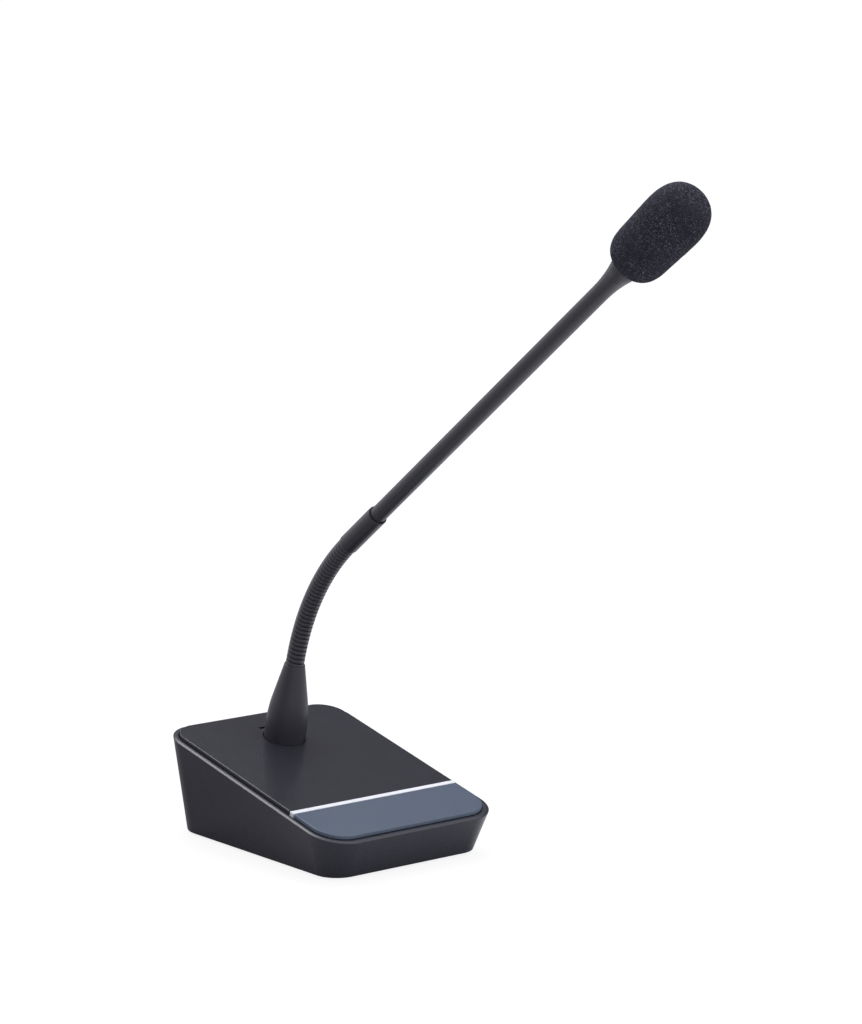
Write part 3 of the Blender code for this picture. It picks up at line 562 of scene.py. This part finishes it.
def boolean(bm, cutters, operation="DIFFERENCE"):
    """Apply closed bmesh tools to a bmesh with the exact solver, and return the result."""
    mesh = bpy.data.meshes.new("blank")
    bm.to_mesh(mesh)
    bm.free()
    target = bpy.data.objects.new("blank", mesh)
    bpy.context.scene.collection.objects.link(target)
    tools = []
    for tool, place in cutters:
        bmesh.ops.recalc_face_normals(tool, faces=tool.faces)
        shape = bpy.data.meshes.new("tool")
        tool.to_mesh(shape)
        tool.free()
        shape.transform(place)
        made = bpy.data.objects.new("tool", shape)
        bpy.context.scene.collection.objects.link(made)
        tools.append(made)
        modifier = target.modifiers.new("tool", "BOOLEAN")
        modifier.operation = operation
        modifier.object = made
        modifier.solver = "EXACT"
    graph = bpy.context.evaluated_depsgraph_get()
    graph.update()
    result = bmesh.new()
    result.from_mesh(target.evaluated_get(graph).to_mesh())
    for thing in [target] + tools:
        bpy.data.objects.remove(thing, do_unlink=True)
    return result


def in_mm(matrix):
    """The same placement for shapes still in millimetres."""
    moved = matrix.copy()
    moved.translation = matrix.translation / MM
    return moved


DECK_MM = in_mm(DECK)


# ---------------------------------------------------------------- the tray

def on_deck(points, z):
    """Points in the deck's frame, taken into millimetres in the object's frame."""
    return [tuple(DECK_MM @ Vector((x, y, z))) for x, y in points]


def blended(first, second, share):
    return [tuple(Vector(a).lerp(Vector(b), share)) for a, b in zip(first, second)]


def rounded_corner(before, corner, after, radius, steps=4):
    """Rings that round the corner ring between two neighbouring rings."""
    rings = []
    for step in range(steps + 1):
        share = step / steps
        ring = []
        for a, b, c in zip(before, corner, after):
            a, b, c = Vector(a), Vector(b), Vector(c)
            first = b + (a - b).normalized() * min(radius, (a - b).length * 0.49)
            last = b + (c - b).normalized() * min(radius, (c - b).length * 0.49)
            ring.append(tuple(first.lerp(b, share).lerp(b.lerp(last, share), share)))
        rings.append(ring)
    return rings


def base_tray():
    """The tray: drafted walls, rounded rim and chamfer, with openings for all that passes through."""
    along = 14
    steps = 16

    def grown(amount, drop):
        points = outline(PLATE_HALF_WIDTH + amount, DECK_FRONT - amount, DECK_REAR + amount,
                         PLATE_FRONT_RADIUS + amount, PLATE_REAR_RADIUS + amount, steps, along)
        return [(x, y, deck_height(y) - drop) for x, y in points]

    def footing(inset, z):
        points = outline(FOOT_HALF_WIDTH - inset, -FOOT_HALF_DEPTH + inset, FOOT_HALF_DEPTH - inset,
                         FOOT_FRONT_RADIUS - inset, FOOT_REAR_RADIUS - inset, steps, along)
        return [(x, y, z) for x, y in points]

    def recess(z):
        points = outline(PLATE_HALF_WIDTH + RECESS_GAP, -RECESS_GAP, DECK_LENGTH + RECESS_GAP,
                         PLATE_FRONT_RADIUS + RECESS_GAP, PLATE_REAR_RADIUS + RECESS_GAP, steps, along)
        return on_deck(points, z)

    inner_foot = footing(1.4, WALL_BOTTOM)
    foot = footing(0.0, WALL_BOTTOM)
    rim = grown(RIM_WIDTH, RIM_DROP)
    land = grown(CHAMFER_INNER, CHAMFER_DROP)
    mouth = recess(-CHAMFER_DROP * math.cos(DECK_TILT))
    floor = recess(-RECESS_DEPTH)
    rings = [inner_foot]
    rings += rounded_corner(inner_foot, foot, rim, 0.5)
    rings += [blended(foot, rim, share / 8) for share in range(1, 8)]
    rings += rounded_corner(foot, rim, land, 0.2)
    rings += rounded_corner(rim, land, mouth, 0.12, 3)
    rings += rounded_corner(land, mouth, floor, 0.16, 2)
    rings.append(floor)
    tray = loft(rings)

    inset = outline(FOOT_HALF_WIDTH - WALL, -FOOT_HALF_DEPTH + WALL, FOOT_HALF_DEPTH - WALL,
                    FOOT_FRONT_RADIUS - WALL, FOOT_REAR_RADIUS - WALL)
    ceiling = (RECESS_DEPTH + DECK_THICKNESS) / math.cos(DECK_TILT)
    amount = RIM_WIDTH - WALL - 0.8
    upper = outline(PLATE_HALF_WIDTH + amount, DECK_FRONT - amount, DECK_REAR + amount,
                    PLATE_FRONT_RADIUS + amount, PLATE_REAR_RADIUS + amount)
    cavity = loft([[(x, y, WALL_BOTTOM - 1.0) for x, y in inset],
                   [(x, y, deck_height(y) - ceiling) for x, y in upper]])
    quarter = Matrix.Rotation(math.radians(90), 4, "X")
    socket = DECK_MM @ Matrix.Translation((0.0, SOCKET_Y, 0.0))
    through = (-9.0, 0.0)
    key_window = block((-42.5, 42.5), (3.8, 26.7), through)
    lamp_slot = block((-LAMP_SLOT_HALF_WIDTH, LAMP_SLOT_HALF_WIDTH), (28.9, 31.3), through)
    tab_slot = block((-TAB_HALF_WIDTH - 0.6, TAB_HALF_WIDTH + 0.6), (0.0, TAB_REAR + 0.9), through)
    outlet = Matrix.Translation((CONNECTOR_X, REAR_WALL, CONNECTOR_Z)) @ quarter
    cutters = [
        (cavity, WORLD),
        (key_window, DECK_MM),
        (lamp_slot, DECK_MM),
        (rod(12.4, *through), socket),
        (tab_slot, socket),
        (rod(CONNECTOR_HOLE, -6.0, 6.0), outlet),
    ]
    for x, z in CONNECTOR_SCREWS:
        place = Matrix.Translation((CONNECTOR_X + x, REAR_WALL, CONNECTOR_Z + z)) @ quarter
        cutters.append((rod(SCREW_HOLE, -6.0, 6.0, 32), place))
    tray = boolean(tray, cutters)
    piece("base_tray", tray, "housing_plastic", WORLD, "base", ["base_shell"])


def slab_rings(points_at, low, high, edge, steps=4, draft=0.0):
    """Rings of a slab with a rounded top edge; points_at gives its outline at an inset."""
    foot = 0.12
    rings = [[(x, y, low) for x, y in points_at(foot)],
             [(x, y, low + foot) for x, y in points_at(0.0)]]
    for step in range(steps + 1):
        angle = math.radians(90.0 * step / steps)
        inset = draft + edge * (1.0 - math.cos(angle))
        rings.append([(x, y, high - edge + edge * math.sin(angle)) for x, y in points_at(inset)])
    return rings


def deck_inserts():
    """Top plate, light bar and talk key, each a slab with a softly rounded top edge."""
    def plate_outline(inset):
        return outline(PLATE_HALF_WIDTH + INSERT_GROWTH - inset, PLATE_START + inset * 0.3,
                       DECK_LENGTH + INSERT_GROWTH - inset, 0.6,
                       PLATE_REAR_RADIUS + INSERT_GROWTH - inset, 20)

    plate = loft(slab_rings(plate_outline, -INSERT_THICKNESS, 0.0, CORNER_EASE, 6, 0.2))
    hole = turned([(0.0, -5.0), (PLATE_HOLE_RADIUS, -5.0), (PLATE_HOLE_RADIUS, -0.22),
                   (PLATE_HOLE_RADIUS + 0.06, -0.07), (PLATE_HOLE_RADIUS + 0.22, 0.0),
                   (PLATE_HOLE_RADIUS + 0.22, 3.0), (0.0, 3.0)])
    slot = block((-TAB_HALF_WIDTH - 0.6, TAB_HALF_WIDTH + 0.6), (0.0, TAB_REAR + 0.5), (-5.0, 5.0))
    spot = Matrix.Translation((0.0, SOCKET_Y, 0.0))
    plate = boolean(plate, [(hole, spot), (slot, spot)])
    piece("deck_plate", plate, "plate_plastic", DECK, "base", ["top_plate"])

    def bar_outline(inset):
        return outline(PLATE_HALF_WIDTH - inset, BAR_FRONT + inset, BAR_REAR - inset, 0.35, 0.35, 6)

    bar = loft(slab_rings(bar_outline, -INSERT_THICKNESS, 0.0, 0.14, 3))
    stem = block((-29.0, 29.0), (29.25, 30.95), (-8.3, -1.0))
    bar = boolean(bar, [(stem, WORLD)], "UNION")
    piece("glow_bar", bar, "light_guide", DECK, "base", ["light_bar"])

    def key_outline(inset):
        return outline(PLATE_HALF_WIDTH + INSERT_GROWTH - inset, inset - INSERT_GROWTH,
                       KEY_LENGTH - inset * 0.3, PLATE_FRONT_RADIUS + INSERT_GROWTH - inset, 0.6, 24)

    key = loft(slab_rings(key_outline, -KEY_THICKNESS, 0.0, CORNER_EASE, 6, 0.2))
    rib_top = -KEY_THICKNESS * 0.5
    ribs = [((-38.0, 38.0), (5.0, 6.2)), ((-38.0, 38.0), (19.3, 20.5)),
            ((-38.0, -36.8), (5.5, 20.0)), ((36.8, 38.0), (5.5, 20.0))]
    tools = [(block(x_range, y_range, (-4.0, rib_top)), WORLD) for x_range, y_range in ribs]
    sideways = Matrix.Rotation(math.radians(90), 4, "Y")
    hinge = Matrix.Translation((0.0, HINGE_Y, HINGE_Z))
    for side in (-1, 1):
        near, far = sorted((side * 31.0, side * 36.0))
        ear = block((near, far), (HINGE_Y - HINGE_EYE, HINGE_Y + HINGE_EYE), (HINGE_Z, rib_top))
        tools.append((ear, WORLD))
        tools.append((rod(HINGE_EYE, near + 0.01, far - 0.01, 32), hinge @ sideways))
        tools.append((rod(1.5, -4.6, rib_top, 24), Matrix.Translation((side * 22.0, 7.5, 0.0))))
    key = boolean(key, tools, "UNION")
    key = boolean(key, [(rod(HINGE_PIN_HOLE, -40.0, 40.0, 32), hinge @ sideways)])
    piece("key_cap", key, "key_plastic", DECK, "talk_key", ["talk_key"])


def release_tab():
    """The plug's release tab, with eased edges and a hollow that follows the sleeve."""
    top = -0.55
    body = block((-TAB_HALF_WIDTH, TAB_HALF_WIDTH), (7.5, TAB_REAR), (-TAB_DEPTH, top))
    bmesh.ops.bevel(body, geom=[e for e in body.edges], offset=0.25, segments=3, affect="EDGES")
    tab = boolean(body, [(rod(10.3, -14.0, 3.0, 128), WORLD)])
    piece("release_tab", tab, "housing_plastic", ARM, "latch", ["latch_tab"])


def coil_spring(coil_radius, wire_radius, low, high, per_turn=36, sides=12):
    """A compression spring about Z, wound of one round wire, standing from low to high."""
    count = SPRING_TURNS * per_turn
    up = Vector((0.0, 0.0, 1.0))
    rings = []
    for step in range(count + 1):
        angle = 2.0 * math.pi * step / per_turn
        outward = Vector((math.cos(angle), math.sin(angle), 0.0))
        height = low + wire_radius + (high - low - 2.0 * wire_radius) * step / count
        centre = outward * coil_radius + up * height
        ring = []
        for side in range(sides):
            around = 2.0 * math.pi * side / sides
            offset = outward * math.cos(around) + up * math.sin(around)
            ring.append(tuple(centre + offset * wire_radius))
        rings.append(ring)
    return loft(rings)


def springs():
    """The springs under the key and the release tab, each a fixed coil on the base."""
    for name, joint, y, (low, high), radii, keep in SPRINGS:
        coil = coil_spring(*radii, low, high)
        made = piece(f"{name}_wire", coil, "zinc_steel", DECK @ shift(0.0, y, 0.0), "base", [name],
                     weighted=False)
        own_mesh(made)


# ---------------------------------------------------------------- the arm

def sleeve():
    """The bottle-shaped sleeve: a straight foot, a shoulder that eases into a cone, a rounded lip."""
    cone = (SLEEVE_CONE_RADIUS - SLEEVE_TOP_RADIUS) / (SLEEVE_TOP - SLEEVE_CONE_START)
    outer = [(SLEEVE_RADIUS - 0.2, SLEEVE_BOTTOM), (SLEEVE_RADIUS, SLEEVE_BOTTOM + 0.2)]
    steps = 36
    for step in range(steps + 1):
        share = step / steps
        radius = SLEEVE_RADIUS - 0.558 * share ** 2 - 0.868 * share ** 3
        outer.append((radius, SLEEVE_SHOULDER + (SLEEVE_CONE_START - SLEEVE_SHOULDER) * share))
    stretch = 2.8
    for step in range(1, 6):
        outer.append((SLEEVE_CONE_RADIUS - cone * stretch * step, SLEEVE_CONE_START + stretch * step))
    lip = 0.35
    top_radius = SLEEVE_TOP_RADIUS + cone * lip
    outer.append((top_radius, SLEEVE_TOP - lip))
    for step in range(1, 6):
        angle = math.radians(90.0 * step / 5)
        outer.append((top_radius - 0.28 * (1.0 - math.cos(angle)) - cone * 0.1,
                      SLEEVE_TOP - lip + lip * math.sin(angle)))
    bore = [(4.45, SLEEVE_TOP), (4.41, SLEEVE_TOP - 0.1), (4.41, 30.0), (4.0, 29.5), (4.0, 12.0),
            (6.0, 9.0), (6.0, SLEEVE_BOTTOM)]
    piece("arm_sleeve", turned(outer + bore, 128), "sleeve_black", ARM, "mic_foot", ["sleeve"])


def wire_surface(distance, angle):
    """Outer radius of the wound neck, and how far into a groove between turns the spot lies."""
    turn = (distance / WIRE_PITCH + angle / (2.0 * math.pi)) % 1.0
    across = abs(2.0 * turn - 1.0)
    edge = min(max((across - 0.64) / 0.36, 0.0), 1.0)
    groove = edge * edge * (3.0 - 2.0 * edge)
    return WIRE_RADIUS - 0.06 * across ** 2 - GROOVE_DEPTH * groove, groove


def wound_neck():
    """The wound neck in one piece per joint, from the middle of one link to the middle of the next."""
    sides = 64
    for index in range(NECK_JOINTS):
        start = SLEEVE_TOP + index * NECK_PITCH
        end = start + NECK_PITCH
        low = start - 7.0 if index == 0 else start
        high = end + 12.0 if index == NECK_JOINTS - 1 else end
        rows = round((high - low) / (WIRE_PITCH / 24))
        bm = bmesh.new()
        groove_layer = bm.verts.layers.float.new("groove")
        outer, inner = [], []
        for row in range(rows + 1):
            distance = low + (high - low) * row / rows
            place = in_mm(along_neck(distance))
            outer_ring, inner_ring = [], []
            for side in range(sides):
                angle = 2.0 * math.pi * side / sides
                radius, groove = wire_surface(distance, angle)
                if distance > SLEEVE_TOP + NECK_VISIBLE + 0.5 or distance < SLEEVE_TOP - 1.0:
                    radius = min(radius, NECK_CORE)
                direction = Vector((math.cos(angle), math.sin(angle), 0.0))
                vert = bm.verts.new(place @ (direction * radius))
                # the groove layer also sets the painted shade between the turns in the neck's material
                vert[groove_layer] = groove
                outer_ring.append(vert)
                if row in (0, rows):
                    inner_ring.append(bm.verts.new(place @ (direction * NECK_BORE)))
            outer.append(outer_ring)
            if inner_ring:
                inner.append(inner_ring)
        rings = [inner[0]] + outer + [inner[1]]
        for a, b in zip(rings, rings[1:] + rings[:1]):
            for side in range(sides):
                following = (side + 1) % sides
                bm.faces.new((a[side], a[following], b[following], b[side]))
        stands_for = [f"neck_bead_{index + 1}"] if index < NECK_JOINTS - 1 else ["neck_upper_end"]
        if index == 0:
            stands_for.append("neck_lower_end")
        made = piece(f"neck_wire_{index + 1}", bm, "neck_steel", WORLD, None, stands_for,
                     sharp=60.0, weighted=False)
        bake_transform(made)


def boom():
    """Collar, dark ring and straight tube, whose end flares out and runs on under the foam."""
    collar = [(4.42, 0.0), (COLLAR_RADIUS, 0.0, 0.12), (COLLAR_RADIUS, COLLAR_LENGTH, 0.22),
              (TUBE_RADIUS + 0.2, COLLAR_LENGTH, 0.1), (TUBE_RADIUS + 0.2, TUBE_START - 0.3),
              (4.42, TUBE_START - 0.3)]
    piece("boom_collar", turned(eased(collar, 0.3)), "tube_black", BOOM, "boom", ["collar"])
    low, high = COLLAR_LENGTH + 0.06, COLLAR_LENGTH + 0.36
    ring = [(TUBE_RADIUS + 0.1, low), (RING_RADIUS, low, 0.06), (RING_RADIUS, high, 0.15),
            (TUBE_RADIUS + 0.1, high)]
    piece("boom_ring", turned(eased(ring, 0.2)), "seal_rubber", BOOM, "boom", ["collar_ring"])

    profile = [(TUBE_BORE, TUBE_START), (TUBE_RADIUS, TUBE_START)]
    for step in range(1, 12):
        profile.append((TUBE_RADIUS, TUBE_START + (FLARE_START - TUBE_START) * step / 12))
    steps = 28
    for step in range(steps + 1):
        share = step / steps
        radius = TUBE_RADIUS + (FLARE_RADIUS - TUBE_RADIUS) * share ** 2.25
        profile.append((radius, FLARE_START + (FLARE_END - FLARE_START) * share))
    for step in range(1, 11):
        rest = 1.0 - step / 10
        radius = TUBE_END_RADIUS - (TUBE_END_RADIUS - FLARE_RADIUS) * rest ** 2
        profile.append((radius, FLARE_END + FLARE_EASE * step / 10))
    profile += [(TUBE_END_RADIUS, TUBE_END), (4.8, TUBE_END), (TUBE_BORE, TUBE_END - 9.0)]
    piece("boom_rod", turned(profile), "tube_black", BOOM, "boom", ["boom_tube"])


def foam_radius(height):
    """Radius of the windscreen: two rounded ends on a body that widens a little upward."""
    low_cap, low_power = 12.3, 3.2
    high_cap, high_power = 22.4, 3.1
    radius = FOAM_BOTTOM_RADIUS + (FOAM_TOP_RADIUS - FOAM_BOTTOM_RADIUS) * height / FOAM_LENGTH
    if height < low_cap:
        radius *= (1.0 - ((low_cap - height) / low_cap) ** low_power) ** (1.0 / low_power)
    rest = (height - (FOAM_LENGTH - high_cap)) / high_cap
    if rest > 0.0:
        radius *= max(0.0, 1.0 - rest ** high_power) ** (1.0 / high_power)
    return radius


def windscreen():
    """Open-cell foam: a turned body whose surface is sunk into small irregular pores."""
    dense = 4000
    heights = [FOAM_LENGTH * (0.5 - 0.5 * math.cos(math.pi * step / dense)) for step in range(dense + 1)]
    path = [Vector((foam_radius(height), height)) for height in heights]
    path = [point for point in path if point.x > FOAM_BORE + 0.6 or point.y > FOAM_LENGTH / 2]
    lengths = [0.0]
    for a, b in zip(path, path[1:]):
        lengths.append(lengths[-1] + (b - a).length)
    rows = 340
    profile, cursor = [], 0
    for row in range(rows + 1):
        wanted = lengths[-1] * row / rows
        while cursor < len(lengths) - 2 and lengths[cursor + 1] < wanted:
            cursor += 1
        span = lengths[cursor + 1] - lengths[cursor]
        profile.append(path[cursor].lerp(path[cursor + 1], (wanted - lengths[cursor]) / span))
    profile[-1].x = 0.0
    bore_end = CAPSULE_END + 0.3 - FOAM_START
    bore = [Vector((0.0, bore_end)), Vector((FOAM_BORE - 0.6, bore_end)),
            Vector((FOAM_BORE, bore_end - 0.6)), Vector((FOAM_BORE, 0.6)),
            Vector((FOAM_BORE + 0.5, 0.1))]
    bm = turned([tuple(point) for point in profile + bore], 520)
    bm.normal_update()
    pore_layer = bm.verts.layers.float.new("pore")
    for vert in bm.verts:
        if vert.co.xy.length < FOAM_BORE + 0.3 and vert.co.z < bore_end + 0.2:
            continue
        spread = vert.co * 1.7
        spread += noise.noise_vector(vert.co * 0.9) * 0.35
        distances = noise.voronoi(spread)[0]
        wall = distances[1] - distances[0]
        pore = min(max((wall - 0.10) / 0.34, 0.0), 1.0)
        coarse = noise.noise(vert.co * 0.33)
        # the pore layer also sets the painted shade in the foam's material
        vert[pore_layer] = pore
        vert.co -= vert.normal * (0.17 * pore * pore + 0.05 + 0.05 * coarse)
    made = piece("foam_cover", bm, "foam", BOOM @ shift(0.0, 0.0, FOAM_START), "windscreen",
                 ["foam_windscreen"], sharp=80.0, weighted=False)


# ---------------------------------------------------------------- underside

def foot_pad():
    """Rubber pad with a rounded edge and shallow grooves across its underside."""
    steps = 10
    rings = []
    for inset, z in ((1.0, 0.0), (0.3, 0.0), (0.08, 0.1), (0.0, 0.4), (0.0, 2.2), (0.1, 2.3)):
        rings.append([(x, y, z) for x, y in outline(27.0 - inset, -50.0 + inset, 50.0 - inset,
                                                    8.0 - inset, 8.0 - inset, steps)])
    pad = loft(rings)
    grooves = []
    for index in range(-5, 6):
        groove = block((-22.0, 22.0), (index * 8.0 - 0.5, index * 8.0 + 0.5), (-1.0, 0.35))
        grooves.append((groove, WORLD))
    pad = boolean(pad, grooves)
    piece("rubber_foot", pad, "pad_rubber", WORLD, "base", ["anti_slip_pad"])


def dress_nodes():
    """Give every CAD node that still shows the material of its slot."""
    slots = {entry["node"]: entry["material_slot"] for entry in frame["record"]["subparts"]}
    for name, node in frame["nodes"].items():
        node.data.materials.clear()
        node.data.materials.append(LOOKS[slots[name]])


# ---------------------------------------------------------------- stage

# Directions that the surroundings are brighter in: heading, edge as two cosines, light
SKY_GLOWS = (
    ((0.10, 0.05, 1.0), (0.64, 0.90), 2.1),
    ((-0.53, 0.79, 0.30), (0.46, 0.90), 1.0),
    ((0.20, -0.97, 0.15), (0.10, 0.80), 1.05),
)
WALL_LIGHT = 0.13
FLOOR_GLOW = 0.87               # with the light that falls on it, the floor comes out white


def backdrop():
    """Pale paper floor: even and white to the lens, graded grey in what the object reflects, with
    painted shade to the object's rear left and painted light to its front right.
    """
    bm = bmesh.new()
    bmesh.ops.create_grid(bm, x_segments=8, y_segments=8, size=60.0)
    mesh = bpy.data.meshes.new("floor")
    bm.to_mesh(mesh)
    bm.free()
    floor = bpy.data.objects.new("floor", mesh)
    bpy.context.scene.collection.objects.link(floor)
    graph = Graph("floor_paper", 0.9, specular=0.0)
    tone = graph.noise(3.0, 2.0)
    paper = graph.mix(tone, (0.115, 0.115, 0.117), (0.125, 0.125, 0.127))
    path = graph.tree.nodes.new("ShaderNodeLightPath")
    direct = path.outputs["Is Camera Ray"]
    # painted shade and light, seen only in reflections: near the object the floor is darker to the rear
    # left and lighter to the front right
    across = graph.spread(graph.measure("DOT_PRODUCT", (0.7, -1.0, 0.0)), -0.12, 0.12)
    beside = graph.mix(across, (0.22, 0.22, 0.22), (0.74, 0.74, 0.74))
    near = graph.spread(graph.measure("LENGTH"), 0.15, 0.45, 1.0, 0.0)
    graph.colour(graph.mix(direct, graph.mix(near, (0.46, 0.46, 0.46), beside), paper))
    graph.shader.inputs["Emission Color"].default_value = (1.0, 1.0, 1.0, 1.0)
    glow = graph.math("MULTIPLY", direct, FLOOR_GLOW)
    graph.link(glow, graph.shader.inputs["Emission Strength"])
    mesh.materials.append(graph.material)


def sky():
    """Soft studio surroundings: dim walls, broad glows above and behind, and white for the lens."""
    world = bpy.data.worlds.new("studio")
    bpy.context.scene.world = world
    world.use_nodes = True
    tree = world.node_tree
    background = tree.nodes["Background"]
    place = tree.nodes.new("ShaderNodeTexCoord")
    total = None
    for heading, (far, near), light in SKY_GLOWS:
        dot = tree.nodes.new("ShaderNodeVectorMath")
        dot.operation = "DOT_PRODUCT"
        dot.inputs[1].default_value = Vector(heading).normalized()
        tree.links.new(place.outputs["Generated"], dot.inputs[0])
        glow = tree.nodes.new("ShaderNodeMapRange")
        glow.interpolation_type = "SMOOTHSTEP"
        glow.inputs["From Min"].default_value = far
        glow.inputs["From Max"].default_value = near
        glow.inputs["To Max"].default_value = light
        tree.links.new(dot.outputs["Value"], glow.inputs["Value"])
        plus = tree.nodes.new("ShaderNodeMath")
        plus.inputs[1].default_value = WALL_LIGHT
        if total:
            tree.links.new(total, plus.inputs[1])
        tree.links.new(glow.outputs["Result"], plus.inputs[0])
        total = plus.outputs["Value"]
    path = tree.nodes.new("ShaderNodeLightPath")
    choice = tree.nodes.new("ShaderNodeMix")
    choice.inputs["B"].default_value = 1.0
    tree.links.new(path.outputs["Is Camera Ray"], choice.inputs["Factor"])
    tree.links.new(total, choice.inputs["A"])
    tree.links.new(choice.outputs["Result"], background.inputs["Strength"])
    tint = tree.nodes.new("ShaderNodeMix")
    tint.data_type = "RGBA"
    tint.inputs[6].default_value = (0.92, 0.925, 1.0, 1.0)
    tint.inputs[7].default_value = (1.0, 1.0, 1.0, 1.0)
    tree.links.new(path.outputs["Is Camera Ray"], tint.inputs["Factor"])
    tree.links.new(tint.outputs[2], background.inputs["Color"])


def area_light(name, direction, distance, size, power, target=(0.0, 0.0, 0.10)):
    """A soft rectangular light in a direction from the target, facing it."""
    light = bpy.data.lights.new(name, "AREA")
    light.shape = "RECTANGLE"
    light.size, light.size_y = size
    light.energy = power
    holder = bpy.data.objects.new(name, light)
    bpy.context.scene.collection.objects.link(holder)
    heading = Vector(direction).normalized()
    holder.location = Vector(target) + heading * distance
    holder.rotation_mode = "QUATERNION"
    holder.rotation_quaternion = heading.to_track_quat("Z", "Y")


def camera():
    """The photograph's viewpoint: its place, and its right, upward and backward directions."""
    data = bpy.data.cameras.new("camera")
    data.lens = 127.46
    data.sensor_width = 36.0
    data.sensor_fit = "AUTO"
    data.shift_x = -0.0083
    data.clip_start = 0.05
    data.clip_end = 200.0
    holder = bpy.data.objects.new("camera", data)
    bpy.context.scene.collection.objects.link(holder)
    right = Vector((0.77507, -0.63187, 0.00256))
    up = Vector((0.10326, 0.13066, 0.98603))
    back = Vector((-0.62338, -0.76398, 0.16652))
    turn = Matrix((right, up, back)).transposed().to_4x4()
    place = Matrix.Translation((-0.99121, -1.29728, 0.42993))
    holder.matrix_world = place @ turn
    bpy.context.scene.camera = holder


camera()
dress_nodes()
base_tray()
deck_inserts()
release_tab()
springs()
sleeve()
wound_neck()
boom()
windscreen()
foot_pad()
backdrop()
sky()
area_light("rear_strip", (0.24, 0.54, 0.80), 1.6, (0.8, 0.45), 9.0)
bpy.context.scene.view_settings.view_transform = "Standard"
